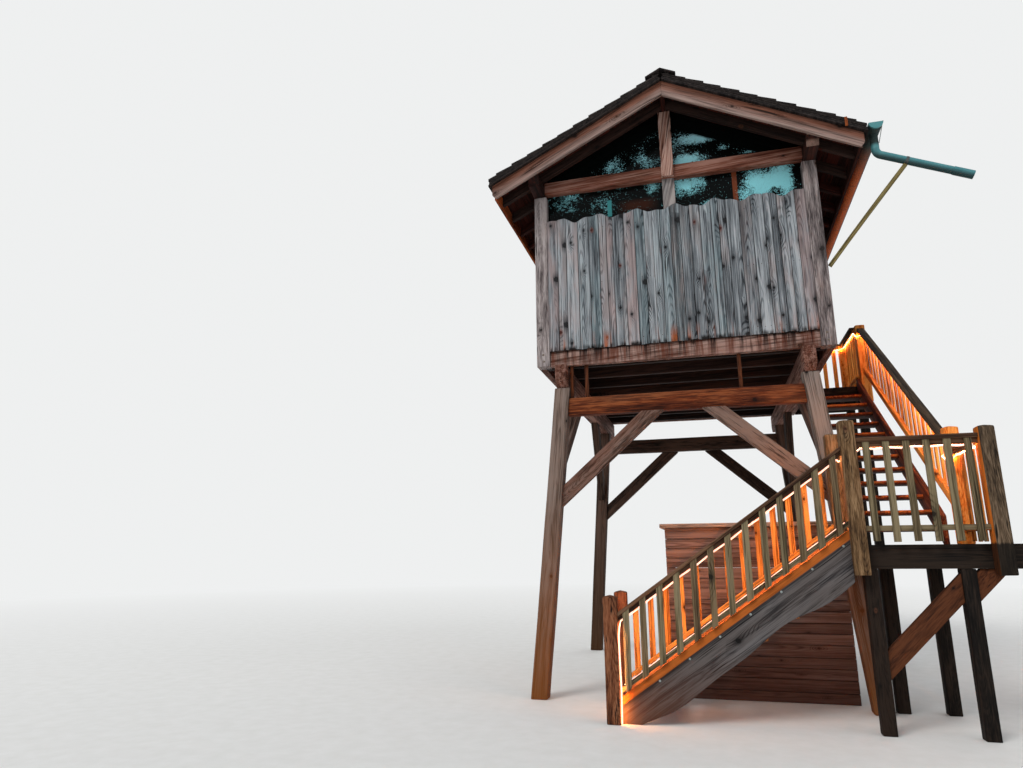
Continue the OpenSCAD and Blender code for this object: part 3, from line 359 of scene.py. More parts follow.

    # stains, painted light and painted shade
    # lit: painted light on the faces that look one way
    if lit is not None:
        toward, tint = lit
        color = t.mix(t.span(t.dot(normal, toward), 0.6, 0.85), color, grained(tint, 0.6))
    for tint, z0, z1, low, high, amount in streak:
        start = t.shift(t.scale(place, (15.0, 15.0, 0.9)), (z0 * 31, 0.0, 0.0))
        run = t.span(t.noise(start, 1.0, 4.0, 0.65), low, high)
        fall = t.span(height + wobble * 0.05, z0, z1) * amount
        color = t.mix(run * fall, color, tint)
    if foot is not None:
        tint, top, share = foot
        color = t.mix(t.span(height + blotch * 0.5, 0.25, top, share, 0.0), color, tint)
    # strip: a painted shadow band, and above it the rope's orange light, painted along the top
    if strip is not None:
        across, low, tint = strip
        lift = t.dot(place, across) + coarse * 0.02
        color = t.mix(t.span(lift, low - 0.055, low, 0.0, 0.6), color, dark)
        color = t.mix(t.span(lift, low, low + 0.012), color, grained(tint, 0.65))
    # painted shade on faces that look down, and with nosing on a nosing's lower half
    if under:
        down = t.span(t.split(normal)[2], -0.5, -0.9, 0.0, under)
        if nosing:
            down = t.math("MAXIMUM", down, t.span(z, -0.006, 0.008, 0.0, 0.85))
        color = t.mix(down, color, t.mix(0.6, dark, PAINTED_SHADE_AND_JOINT_DARK))
    relief = fine * 0.45 + coarse * 0.35 - crack * 0.9 + late * 0.10
    return t.finish(color, t.span(fine, 0.2, 0.8, 0.9, 0.62), t.bump(relief, 0.55 * bump, 0.005),
                    specular=0.16)


def metal(name, base, worn, rough=0.45, metallic=0.0, fleck=0.5, deep=None, gutter=False):
    """Painted or bare metal; deep is painted shade on faces that look down, and gutter adds painted
    shade on the gutter's body and, on its underside, rust with painted warm light.
    """
    t, place, normal = new_tree(name)
    nx, _, nz = t.split(normal)
    _, py, pz = t.split(place)
    big, small = t.noise(place, 5.0, 5.0, 0.6), t.noise(place, 60.0, 4.0, 0.6)
    color = t.mix(t.span(big, 0.42, 0.68, 0.0, fleck), base, worn)
    color = t.mix(t.span(small, 0.6, 0.72, 0.0, fleck), color,
                  t.mix(0.5, worn, (0.02, 0.02, 0.02, 1)))
    # painted shade on faces that look down
    if deep is not None:
        color = t.mix(t.span(nz, 0.15, -0.6, 0.0, 0.9), color, deep)
    rough = t.span(big, 0.3, 0.7, rough - 0.1, rough + 0.15)
    if gutter:
        rim_z, end_y = gutter_high.z, gutter_low.y
        # painted shade: the gutter's body behind its front end and under its rim is dark grey
        painted_shade_grey = t.mix(t.span(small, 0.35, 0.65), srgb(24, 28, 26), srgb(52, 60, 56))
        painted_body_shade = t.span(pz, rim_z - 0.008, rim_z - 0.03) * t.span(py, end_y + 0.004, end_y + 0.03)
        painted_body_shade = painted_body_shade * t.span(pz, rim_z - 0.20, rim_z - 0.16)
        color = t.mix(painted_body_shade * 0.93, color, painted_shade_grey)
        # the underside's orange is rust and painted warm light; the dark bands at the joints are
        # real
        joint = t.math("FRACT", (py - end_y) / 0.62)
        rust = t.mix(t.span(small, 0.35, 0.7), srgb(140, 56, 18), srgb(224, 112, 44))
        rust = t.mix(t.span(joint, 0.0, 0.03, 0.85, 0.0), rust, PAINTED_SHADE_AND_JOINT_DARK)
        share = t.span(py, end_y + 0.35, end_y + 1.1) * t.span(nx, 0.75, 0.45)
        share = share * t.span(nz, 0.15, -0.15) * 0.95
        color = t.mix(painted_body_shade * share, color, rust)
        rough = rough + painted_body_shade * 0.4
    return t.finish(color, rough, t.bump(small, 0.12, 0.002), metallic)


# Painted rope glow and shadow band on the lower stringers' top: plane normal, height and colour
STRING_TOP = LOWER_RISE - (LOWER_X + SHIFT.x) * LOWER_M + STRING_UP
LOWER_PAINTED_GLOW = ((-LOWER_M, 0.0, 1.0), STRING_TOP - 0.072, srgb(178, 94, 34))

# Timbers: four colours (dark, middle, light, other), then patch, knots and cracks, then the rest
WOODS = {
    "leg_timber": (
        (28, 22, 19), (80, 69, 62), (134, 121, 114), (120, 92, 76), 0.5, 0.7, 0.9,
        dict(foot=(srgb(118, 68, 22), 2.3, 0.9), knot_size=(0.01, 0.03))),
    # darker copy for the legs in the back half: painted shade
    "leg_painted_shade": (
        (14, 10, 8), (48, 36, 30), (92, 74, 64), (66, 46, 36), 0.5, 0.6, 0.8,
        dict(foot=(srgb(70, 44, 22), 2.0, 0.75))),
    "brace_timber": (
        (20, 14, 11), (65, 50, 42), (122, 103, 94), (106, 62, 44), 0.7, 0.7, 0.9,
        dict(knot_size=(0.01, 0.026))),
    # darker copy for the back half's braces and lower ties: painted shade
    "brace_painted_shade": ((10, 7, 6), (36, 25, 20), (74, 56, 46), (52, 34, 26), 0.6, 0.6, 0.8, {}),
    "beam_timber": (
        (30, 18, 14), (98, 70, 60), (160, 132, 122), (116, 68, 50), 0.6, 0.7, 1.0,
        dict(knot_size=(0.01, 0.03), gain=1.8,
             streak=((srgb(90, 40, 20), 3.36, 3.62, 0.43, 0.58, 0.8),
                     (srgb(20, 11, 8), 3.45, 3.71, 0.50, 0.56, 0.96),
                     (srgb(14, 9, 8), 3.685, 3.715, 0.30, 0.40, 0.95)))),
    "tie_timber": (
        (26, 9, 4), (86, 37, 14), (142, 76, 38), (104, 70, 48), 0.5, 0.6, 0.9,
        dict(knot_size=(0.01, 0.028))),
    "upper_tie_timber": (
        (28, 13, 8), (112, 76, 62), (170, 142, 130), (124, 58, 36), 0.7, 0.5, 1.0,
        dict(gain=1.7)),
    # darkened as painted shade: joists, floor boards, front rafters and strips behind board joints
    "under_timber": ((8, 6, 5), (27, 17, 15), (54, 36, 30), (38, 28, 25), 0.5, 0.3, 0.5, {}),
    "post_timber": (
        (54, 48, 48), (121, 111, 110), (172, 162, 160), (142, 102, 88), 0.7, 0.9, 0.9,
        dict(knot_size=(0.01, 0.03))),
    "king_timber": (
        (46, 26, 20), (138, 98, 84), (200, 172, 160), (150, 88, 66), 0.7, 0.6, 1.0,
        dict(gain=1.7)),
    "stud_timber": (
        (60, 60, 62), (128, 126, 126), (176, 174, 172), (140, 116, 106), 0.5, 0.6, 0.8, {}),
    "grey_boards": (
        (32, 34, 38), (109, 115, 120), (170, 175, 179), (157, 131, 127), 0.85, 1.15, 1.0,
        dict(streak=((srgb(166, 90, 50), 3.92, 3.72, 0.54, 0.66, 0.9),
                     (srgb(20, 15, 13), 3.76, 3.725, 0.42, 0.56, 0.95),
                     (srgb(60, 66, 72), 4.6, 5.2, 0.52, 0.64, 0.45)),
             rust=srgb(126, 58, 40), knot_size=(0.013, 0.040), edge=0.6, gain=1.2,
             third=(srgb(108, 146, 148), 0.5), rings=(1.55, 5.0), patchy=0.6, seam=0.006)),
    "side_boards": (
        (36, 29, 26), (104, 92, 86), (152, 140, 134), (126, 94, 80), 0.6, 0.7, 0.9,
        dict(edge=0.7, knot_size=(0.01, 0.026))),
    "door_wood": (
        (36, 20, 14), (98, 56, 34), (138, 90, 60), (112, 78, 60), 0.4, 0.4, 0.5,
        dict(edge=0.6)),
    # darkened as painted shade on the roof's underside
    "rafter_wood": ((9, 5, 4), (29, 12, 9), (74, 28, 19), (38, 20, 17), 0.5, 0.4, 0.5, {}),
    # plate_wood: dark, with painted light on the faces towards the front
    "plate_wood": (
        (10, 5, 4), (34, 16, 12), (74, 36, 26), (44, 26, 22), 0.5, 0.4, 0.5,
        dict(lit=(FRONT, srgb(140, 112, 100)))),
    "fascia_wood": (
        (46, 18, 8), (112, 50, 20), (168, 86, 40), (80, 42, 26), 0.5, 0.4, 0.7, {}),
    "barge_wood": (
        (42, 26, 20), (104, 76, 64), (164, 140, 130), (128, 78, 56), 0.6, 0.8, 1.0,
        dict(knot_size=(0.01, 0.03),
             grade=(srgb(168, 146, 138), srgb(116, 66, 46), RIDGE_Z - 0.165, RIDGE_Z - 0.055))),
    "shingle_wood": (
        (5, 4, 4), (21, 17, 17), (54, 47, 45), (36, 29, 25), 0.7, 0.0, 0.7, dict(bump=1.4)),
    "pole_wood": (
        (46, 38, 20), (118, 104, 62), (176, 162, 108), (88, 74, 44), 0.7, 0.9, 0.7,
        dict(knot_size=(0.006, 0.02))),
    "stringer_wood": (
        (16, 16, 17), (56, 54, 56), (108, 104, 104), (70, 57, 50), 0.6, 0.6, 0.9,
        dict(foot=(srgb(86, 52, 34), 0.85, 0.75), strip=LOWER_PAINTED_GLOW, knot_size=(0.014, 0.03))),
    "tread_wood": (
        (62, 28, 12), (158, 82, 38), (214, 132, 72), (116, 70, 44), 0.5, 0.4, 0.8, {}),
    # under and nosing: painted shade on faces that look down and on the nosings' lower half
    "upper_stair_wood": (
        (44, 15, 6), (140, 60, 22), (210, 118, 54), (92, 46, 28), 0.5, 0.4, 0.7,
        dict(under=0.95, nosing=True)),
    # under: painted shade on faces that look down
    "upper_string_wood": (
        (26, 9, 5), (84, 34, 17), (142, 72, 36), (62, 32, 22), 0.5, 0.4, 0.7, dict(under=0.9)),
    "rail_wood": (
        (34, 29, 20), (88, 76, 54), (134, 120, 92), (98, 70, 48), 0.5, 0.4, 0.9, {}),
    "hand_wood": (
        (24, 15, 10), (66, 44, 30), (114, 84, 62), (80, 42, 26), 0.6, 0.4, 0.9, {}),
    "newel_wood": (
        (40, 29, 18), (100, 74, 48), (146, 116, 84), (100, 64, 40), 0.6, 0.8, 1.0,
        dict(knot_size=(0.012, 0.03))),
    # painted rope light on the side towards -x, and painted shade below the landing's deck
    "newel_corner": (
        (32, 25, 18), (82, 66, 50), (124, 104, 84), (92, 60, 44), 0.6, 0.8, 1.0,
        dict(lit=((-1.0, 0.0, 0.0), srgb(232, 126, 44)),
             streak=((srgb(20, 15, 11), LANDING_Z + 0.012, LANDING_Z - 0.006, -1.0, -0.5,
                      0.92),))),
    "newel_red": (
        (44, 22, 12), (108, 62, 38), (150, 100, 70), (120, 60, 34), 0.6, 0.8, 1.0,
        dict(knot_size=(0.012, 0.032))),
    # orange copies of the rails and newels: the rope's light painted into their colour
    "rail_painted_glow": (
        (74, 36, 12), (168, 98, 38), (218, 150, 76), (124, 76, 36), 0.5, 0.5, 0.8, {}),
    "newel_painted_glow": (
        (104, 42, 10), (218, 116, 38), (250, 172, 86), (160, 82, 34), 0.5, 0.5, 0.7, {}),
    # the rope's orange light painted into the upper rails' colour
    "upper_rail_wood": (
        (104, 44, 10), (222, 124, 42), (252, 180, 92), (164, 88, 34), 0.4, 0.4, 0.7, {}),
    # darker copy for the upper handrail caps: painted shade
    "upper_hand_wood": (
        (22, 15, 9), (62, 46, 32), (104, 84, 62), (78, 48, 28), 0.5, 0.4, 0.7, {}),
    # darkened as painted shade for the landing's and the gallery's timbers
    "deck_timber": ((6, 4, 3), (18, 13, 10), (42, 32, 25), (36, 23, 15), 0.6, 0.4, 0.9, {}),
    "brace_wood": ((24, 10, 5), (68, 33, 15), (106, 58, 31), (48, 30, 20), 0.5, 0.4, 0.8, {}),
    # the foot tint darkens the store's lower part: painted shade
    "store_boards": (
        (64, 42, 34), (121, 90, 79), (154, 122, 111), (108, 74, 60), 0.5, 0.6, 0.35,
        dict(fibre=0.7, foot=(srgb(62, 34, 25), 1.3, 0.75), edge=0.3, gain=1.1,
             knot_size=(0.006, 0.02))),
    "store_top": (
        (66, 50, 42), (140, 114, 98), (180, 156, 140), (116, 82, 68), 0.5, 0.3, 0.8, {}),
}
MATS = {name: wood(name, *(srgb(*c) for c in row[:4]), *row[4:7], **row[7])
        for name, row in WOODS.items()}
# gutter_paint's last colour is painted shade on faces that look down
for name, base, worn, *looks in (
        ("gutter_paint", (60, 124, 130), (92, 150, 154), 0.4, 0.0, 0.6, srgb(26, 50, 52)),
        ("gutter_body", (70, 134, 138), (104, 156, 158), 0.4, 0.0, 0.5, None, True),
        ("bolt_metal", (120, 112, 104), (110, 74, 52), 0.5, 0.6, 0.7),
        ("nail_metal", (44, 36, 32), (84, 48, 32), 0.6, 0.4, 0.8),
        ("pale_metal", (150, 158, 156), (104, 108, 104), 0.4, 0.2, 0.5),
        ("clip_metal", (56, 66, 66), (160, 164, 160), 0.4, 0.4, 0.5)):
    MATS[name] = metal(name, srgb(*base), srgb(*worn), *looks)

# Painted reflections: patches of sky (positive) and leaves (negative) mirrored in the panes: x, z,
# half width, half height and weight; then the painted uprights: x, half width, foot, top, colour
# and share
PAINTED_REFLECTIONS = (
    (0.37, 6.20, 0.17, 0.06, 1.0), (0.24, 5.94, 0.15, 0.06, 1.0), (0.63, 6.03, 0.08, 0.04, 0.7),
    (0.92, 5.93, 0.10, 0.03, 0.8), (0.22, 5.62, 0.17, 0.11, 1.1), (0.46, 5.36, 0.09, 0.06, 1.0),
    (1.12, 5.50, 0.31, 0.18, 1.5), (-1.14, 5.66, 0.11, 0.05, 0.5), (-0.18, 5.64, 0.08, 0.08, 0.9),
    (-0.63, 5.99, 0.11, 0.09, 0.5), (-0.29, 6.08, 0.09, 0.13, 0.5), (-0.18, 5.96, 0.10, 0.09, 0.6),
    (-0.81, 5.49, 0.26, 0.12, 0.3), (0.63, 5.50, 0.17, 0.14, -0.8), (1.16, 5.42, 0.07, 0.06, -1.0),
    (1.40, 5.52, 0.05, 0.11, -0.9))
PAINTED_UPRIGHTS = ((0.737, 0.029, 5.3, 5.72, srgb(128, 66, 40), 0.75),
            (-0.70, 0.028, 5.34, 5.56, srgb(64, 138, 140), 0.95))


def glass_material():
    """Clear panes with painted reflections of the sky, leafy branches and two uprights."""
    t, place, _ = new_tree("window_glass")
    place = t.shift(place, tuple(-SHIFT))
    x, _, z = t.split(place)
    swirl = t.scale(t.noise(place, 20.0, 2.0, 0.5, out="Color"), (0.05, 0.0, 0.05))
    moved = t.shift(place, swirl)
    field = (t.noise(place, 3.4, 5.0, 0.6) - 0.53) * 2.4
    for px, pz, rx, rz, weight in PAINTED_REFLECTIONS:
        away = t.shift(moved, (-px - 0.025, 0.0, -pz - 0.025))
        away = t.length(t.scale(away, (1 / rx, 0.0, 1 / rz)))
        field = field + t.span(away, 0.2, 1.7, weight, 0.0)
    cover = t.span(field, -0.1, 1.0, 0.79, 0.14)
    leaves = [t.node("ShaderNodeTexVoronoi", {
        "Vector": t.scale(moved, (size, 0.0, size * 1.25))}, "Distance", feature="F1") - cover
        for size in (14.0, 29.0)]
    # painted reflection: sky between the leaves below the roof's line, dark leaves with a warm
    # patch
    roof = abs(x) * SLOPE + z + t.noise(place, 12.0, 3.0, 0.6) * 0.03
    sky = (t.span(t.math("MINIMUM", *leaves), -0.006, 0.010)
           * t.span(roof, RIDGE_Z - 0.23, RIDGE_Z - 0.26))
    ember = (t.span(abs(x + 0.37), 0.1, 0.26, 1.0, 0.0)
             * t.span(abs(z - 5.44), 0.03, 0.1, 1.0, 0.0))
    color = t.mix(sky, t.mix(ember, srgb(7, 10, 9), srgb(52, 26, 15)),
                  t.mix(t.span(z, 5.5, 6.3), srgb(138, 212, 220), srgb(158, 212, 222)))
    for px, half, z0, z1, bar, share in PAINTED_UPRIGHTS:
        ends = t.span(z, z0, z0 + 0.01) * t.span(z, z1, z1 - 0.01)
        band = t.span(abs(x - px), half, half - 0.006) * ends
        color = t.mix(band * share, color, bar)
    mat = t.finish(color, 0.12, specular=0.1)
    shader = t.nodes["Principled BSDF"]
    shader.inputs["Transmission Weight"].default_value = 0.03
    shader.inputs["IOR"].default_value = 1.45
    return mat


def rope_material():
    """A lit tube: strong orange light towards the timber behind, a soft pale core in front."""
    t, place, normal = new_tree("rope_glow")
    beads = t.node("ShaderNodeTexVoronoi", {"Vector": t.scale(place, (34.0, 34.0, 34.0))},
                   "Distance", feature="F1")
    core = t.span(beads, 0.2, 0.75, 1.0, 0.0)
    front = t.span(t.dot(normal, (-0.15, -0.9, -0.4)), -0.35, 0.05)
    pale = t.mix(core, (1.0, 0.42, 0.28, 1.0), (1.0, 0.74, 0.64, 1.0))
    mat = t.finish((0.9, 0.6, 0.4, 1.0), t.span(core, 0.0, 1.0, 0.5, 0.3))
    inputs = t.nodes["Principled BSDF"].inputs
    t.put(inputs["Emission Color"], t.mix(front, (1.0, 0.37, 0.085, 1.0), pale))
    t.put(inputs["Emission Strength"], t.span(front, 0.0, 1.0, 105.0, 0.0) + 1.5)
    return mat


MATS["window_glass"] = glass_material()
MATS["rope_glow"] = rope_material()


# ---- timber pieces
def middle(bm):
    return sum((v.co for v in bm.verts), Vector()) / len(bm.verts)


class Piece:
    """Collects members and makes one object of them, with grain and tone for its material."""

    def __init__(self, name, material, slot, *nodes):
        self.name, self.material, self.slot, self.nodes = name, material, slot, nodes
        self.verts, self.faces, self.grain, self.tone, self.half = [], [], [], [], []

    def take(self, bm, axis, up=None):
        """Adds a solid whose grain runs along the axis."""
        axis = Vector(axis).normalized()
        side = axis.cross(Vector(up or (UP if abs(axis.z) < 0.9 else ALONG_Y)))
        side.normalize()
        third = axis.cross(side)
        shift = Vector((rnd.uniform(0, 60), 0, 0))
        tone = rnd.random()
        base, centre = len(self.verts), middle(bm)
        for i, v in enumerate(bm.verts):
            v.index = i
            d = v.co - centre
            self.verts.append(tuple(v.co))
            self.grain.append(tuple(Vector((d.dot(axis), d.dot(side), d.dot(third))) + shift))
        self.tone += [tone] * len(bm.verts)
        self.half += [max(abs(g[1]) for g in self.grain[base:])] * len(bm.verts)
        self.faces += [[base + v.index for v in f.verts] for f in bm.faces]
        bm.free()

    def member(self, bm, axis, up=None, **wear):
        self.take(weather(bm, axis, **wear), axis, up)

    def make(self):
        mesh = bpy.data.meshes.new(self.name)
        low, high = cad_box
        inside = [[min(max(c, a), b) for c, a, b in zip(v, low, high)] for v in self.verts]
        mesh.from_pydata(inside, [], self.faces)
        for name, kind, field, values in (
                ("grain", "FLOAT_VECTOR", "vector", self.grain),
                ("tone", "FLOAT", "value", self.tone), ("half", "FLOAT", "value", self.half)):
            data = mesh.attributes.new(name, kind, "POINT").data
            data.foreach_set(field, np.array(values, np.float32).ravel())
        mesh.polygons.foreach_set("use_smooth", [True] * len(mesh.polygons))
        mesh.set_sharp_from_angle(angle=math.radians(38))
        mesh.materials.append(MATS[self.material])
        mesh.update()
        obj = bpy.data.objects.new(self.name, mesh)
        bpy.context.scene.collection.objects.link(obj)
        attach(obj, "root")
        if self.nodes:
            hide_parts(*self.nodes)


def weather(bm, axis, bevel=0.006, step=0.3, bow=0.003, chip=0.0012, segments=2):
    """Rounds a member's arrises, cuts it along its length and makes it a little uneven."""
    axis = Vector(axis).normalized()
    bmesh.ops.remove_doubles(bm, verts=bm.verts, dist=WELD)
    bmesh.ops.dissolve_limit(bm, angle_limit=FLAT, verts=bm.verts, edges=bm.edges)
    bmesh.ops.recalc_face_normals(bm, faces=bm.faces)
    if bevel:
        sharp = [e for e in bm.edges if len(e.link_faces) == 2 and e.calc_face_angle(0.0) > 0.3]
        bmesh.ops.bevel(bm, geom=sharp, offset=bevel, segments=segments, profile=0.6,
                        affect="EDGES", clamp_overlap=True)
    reach = [v.co.dot(axis) for v in bm.verts]
    lo, hi = min(reach), max(reach)
    count = max(1, int((hi - lo) / step))
    for k in range(1, count):
        bmesh.ops.bisect_plane(bm, geom=bm.verts[:] + bm.edges[:] + bm.faces[:],
                               plane_co=axis * (lo + (hi - lo) * k / count), plane_no=axis)
    seed = Vector((rnd.uniform(0, 90), rnd.uniform(0, 90), rnd.uniform(0, 90)))
    for v in bm.verts:
        t = v.co.dot(axis)
        ease = min(1.0, 6 * min(t - lo, hi - t) / max(hi - lo, 1e-6))
        swing = noise.noise_vector(seed + axis * t * 0.9) * bow * ease
        swing -= axis * swing.dot(axis)
        v.co += swing + noise.noise_vector(seed + v.co * 9.0) * chip
    return bm


def hexa(corners):
    """A solid from eight corners: four round its first end and four round its last."""
    bm = bmesh.new()
    v = [bm.verts.new(c) for c in corners]
    for f in ((3, 2, 1, 0), (4, 5, 6, 7), (0, 1, 5, 4), (1, 2, 6, 5), (2, 3, 7, 6), (3, 0, 4, 7)):
        bm.faces.new([v[i] for i in f])
    bmesh.ops.recalc_face_normals(bm, faces=bm.faces)
    return bm


def block(low, high):
    """A box between two corners, in working coordinates."""
    (a, b, c), (d, e, f) = low, high
    return hexa([at(x, y, z) for z in (c, f) for x, y in ((a, b), (d, b), (d, e), (a, e))])


def prism(outline, along):
    """A solid from a flat outline, in order, and the vector to its other side."""
    bm = bmesh.new()
    a = [bm.verts.new(p) for p in outline]
    b = [bm.verts.new(Vector(p) + Vector(along)) for p in outline]
    bm.faces.new(a[::-1])
    bm.faces.new(b)
    for i in range(len(a)):
        j = (i + 1) % len(a)
        bm.faces.new((a[i], a[j], b[j], b[i]))
    bmesh.ops.recalc_face_normals(bm, faces=bm.faces)
    return bm


def solids(node):
    """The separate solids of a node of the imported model, each as a mesh of its own."""
    whole = bmesh.new()
    whole.from_mesh(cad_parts[node].data)
    bmesh.ops.remove_doubles(whole, verts=whole.verts, dist=WELD)
    whole.verts.index_update()
    whole.faces.index_update()
    left, found = set(whole.verts), []
    while left:
        stack, group = [min(left, key=lambda v: v.index)], set()
        while stack:
            v = stack.pop()
            if v not in group:
                group.add(v)
                stack += [e.other_vert(v) for e in v.link_edges]
        left -= group
        bm = bmesh.new()
        new = {v: bm.verts.new(v.co) for v in sorted(group, key=lambda v: v.index)}
        for f in sorted({f for v in group for f in v.link_faces}, key=lambda f: f.index):
            bm.faces.new([new[v] for v in f.verts])
        bmesh.ops.dissolve_limit(bm, angle_limit=FLAT, verts=bm.verts, edges=bm.edges)
        found.append(bm)
    whole.free()
    return sorted(found, key=lambda b: tuple(round(c, 3) for c in middle(b)))


def timber(node, material, slot, pick=None, **wear):
    """Dresses a node's solids as sawn timber and replaces it; pick gives a solid's material."""
    pieces = {}
    for bm in solids(node):
        longest = max(bm.edges, key=lambda e: e.calc_length()).verts
        kind = pick(middle(bm) - SHIFT) if pick else material
        if kind not in pieces:
            tail, nodes = (f"_timber_{len(pieces)}", ()) if pieces else ("_timber", (node,))
            pieces[kind] = Piece(node + tail, kind, slot, *nodes)
        pieces[kind].member(bm, (longest[1].co - longest[0].co).normalized(), **wear)
    for piece in pieces.values():
        piece.make()


def by(axis, limit, below, above):
    """Picks a material by which side of a limit on an axis the solid's middle is."""
    return lambda c: below if c[axis] < limit else above


# the orange copies are painted rope light
def newel_kind(c):
    if c.z > 3.3:
        return "newel_painted_glow"
    if c.x < 0.0:
        return "newel_red"
    if c.x > 2.0 and c.y > -0.6:
        return "newel_painted_glow"
    return "newel_corner" if c.x > 2.0 else "newel_wood"


# members in the back half take darker copies of their timber: painted shade
HALFWAY = DEPTH / 2
timber("legs", "leg_timber", "leg_timber", by(1, HALFWAY, "leg_timber", "leg_painted_shade"),
       bevel=0.012, step=0.25, bow=0.006, chip=0.002)
timber("lower_ties", "tie_timber", "beam_timber", by(1, HALFWAY, "tie_timber", "brace_painted_shade"),
       bevel=0.010, bow=0.006, chip=0.002)
timber("knee_braces", "brace_timber", "beam_timber",
       by(1, DEPTH * 0.6, "brace_timber", "brace_painted_shade"), bevel=0.009, bow=0.004)
timber("sill_beams", "beam_timber", "beam_timber", bevel=0.010, bow=0.004)
timber("floor_joists", "under_timber", "floor_timber")
timber("rim_beams", "beam_timber", "beam_timber", bevel=0.008, bow=0.004, chip=0.002)
timber("corner_posts", "post_timber", "post_timber", bevel=0.008)
timber("gable_rails", "post_timber", "post_timber")
timber("gable_studs", "stud_timber", "post_timber")
timber("upper_ties", "upper_tie_timber", "beam_timber", bevel=0.008)
timber("king_posts", "king_timber", "beam_timber")
timber("roof_beams", "rafter_wood", "beam_timber", by(0, 1.0, "rafter_wood", "plate_wood"),
       bevel=0.008)
timber("rafters", "rafter_wood", "rafter_wood", by(1, 0.6, "under_timber", "rafter_wood"))
timber("bargeboards_left", "barge_wood", "barge_wood", bow=0.004)
timber("bargeboards_right", "barge_wood", "barge_wood", bow=0.004)
timber("fascias", "fascia_wood", "rafter_wood", by(0, 0.0, "fascia_wood", "plate_wood"))
timber("hanger_laths", "brace_wood", "leg_timber", bevel=0.004, bow=0.006)
timber("pipe_prop", "pole_wood", "pole_wood", bevel=0.0, bow=0.008, chip=0.002)
timber("lower_stringers", "stringer_wood", "stringer_wood",
       by(1, -0.6, "stringer_wood", "tread_wood"), bevel=0.005, step=0.12, chip=0.002)
timber("lower_treads", "tread_wood", "upper_stair_wood")
timber("newel_posts", "newel_wood", "rail_wood", newel_kind, bevel=0.012, bow=0.004, chip=0.002)
timber("landing_posts", "deck_timber", "deck_timber", bevel=0.008)
timber("landing_braces", "brace_wood", "deck_timber", bevel=0.008)
timber("upper_stringers", "upper_string_wood", "upper_stair_wood")
timber("upper_treads", "upper_stair_wood", "upper_stair_wood")
timber("gallery_posts", "deck_timber", "deck_timber", bevel=0.008)


# ---- boards
BOARD_WEAR = dict(bevel=0.003, step=0.5, bow=0.0015, chip=0.0008, segments=1)


def widths(total, want, spread=0.3):
    """Random board widths that add up to a total."""
    n = max(1, round(total / want))
    w = [rnd.uniform(1 - spread, 1 + spread) for _ in range(n)]
    return [total * v / sum(w) for v in w]


def gable_boards(name, node, back):
    """Boards with wavy tops and uneven feet, and strips behind their joints, dark as painted shade.
    """
    piece = Piece(name, "grey_boards", "grey_boards", node)
    strips = Piece(name + "_strips", "under_timber", "grey_boards")
    wear = dict(BOARD_WEAR, bevel=0.0025, step=0.2)
    x, gap, foot, sign = -INNER_X, 0.0035, 0.012, -1 if back else 1
    for w in widths(2 * INNER_X, 0.107, 0.34):
        a, b = x + gap / 2, x + w - gap / 2
        x += w
        y0 = rnd.uniform(0.0, 0.004)
        t = BOARD_T - 0.006 - y0 - rnd.uniform(0, 0.002)
        hop = rnd.uniform(-0.006, 0.004)
        y = DEPTH - y0 if back else y0
        outline = [at(px, y, FLOOR_Z + BOARD_H + board_wave(px) + hop)
                   for px in (a + (b - a) * k / 5 for k in range(6))]
        outline += [at(px, y, FLOOR_Z - foot + foot * noise.noise(Vector((40 + 9 * px, 0,
                                                                          3.0 * back))))
                    for px in (b - (b - a) * k / 4 for k in range(5))]
        piece.member(prism(outline, (0, sign * t, 0)), UP, ALONG_Y, **wear)
        if x < INNER_X - 0.01:
            y1 = DEPTH - BOARD_T if back else BOARD_T - 0.005
            strips.take(block((x - 0.015, y1, FLOOR_Z),
                              (x + 0.015, y1 + 0.005, FLOOR_Z + BOARD_H + board_wave(x) - 0.012)),
                        UP, ALONG_Y)
    strips.make()
    piece.make()


gable_boards("front_boarding", "front_boards", False)
gable_boards("back_boarding", "back_boards", True)


def board_run(piece, low, high, across, want, along, lay="high", gap=0.004, bevel=0.003):
    """Boards that fill a box: side by side on the axis across, and running on the axis along.

    lay says which face of the box the boards stand a little under, unevenly.
    """
    here, thin = low[across], 3 - across - along
    axis, up = [0, 0, 0], [0, 0, 0]
    axis[along], up[thin] = 1, 1
    for w in widths(high[across] - low[across], want, 0.12):
        a, b = list(low), list(high)
        a[across], b[across] = here + gap / 2, here + w - gap / 2
        here += w
        cut = rnd.uniform(0, 0.0025)
        if lay == "high":
            b[thin] -= cut
        elif lay == "low":
            a[thin] += cut
        piece.member(block(a, b), axis, up, **dict(BOARD_WEAR, bevel=bevel))


def side_walls():
    """Upright boards outside and level ones inside, left plain and right with the doorway."""
    left = Piece("left_boarding", "side_boards", "side_boards", "left_wall")
    right = Piece("right_boarding", "side_boards", "side_boards", "right_wall", "wall_over_door")
    core, face, y0, y1 = WALL_X + WALL_T / 2, WALL_X + WALL_T, POST_W, DEPTH - POST_W
    out_w, in_w = 0.155, 0.14
    board_run(left, (-face, y0, FLOOR_Z), (-core, y1, PLATE_Z), 1, out_w, 2, "low")
    board_run(left, (-core, y0, FLOOR_Z), (-WALL_X, y1, PLATE_Z), 2, in_w, 1)
    for a, b, z in ((y0, DOOR_Y0, FLOOR_Z), (DOOR_Y0, DOOR_Y1, FLOOR_Z + DOOR_H),
                    (DOOR_Y1, y1, FLOOR_Z)):
        board_run(right, (core, a, z), (face, b, PLATE_Z), 1, out_w, 2)
        board_run(right, (WALL_X, a, z), (core, b, PLATE_Z), 2, in_w, 1, "low")
    left.make()
    right.make()


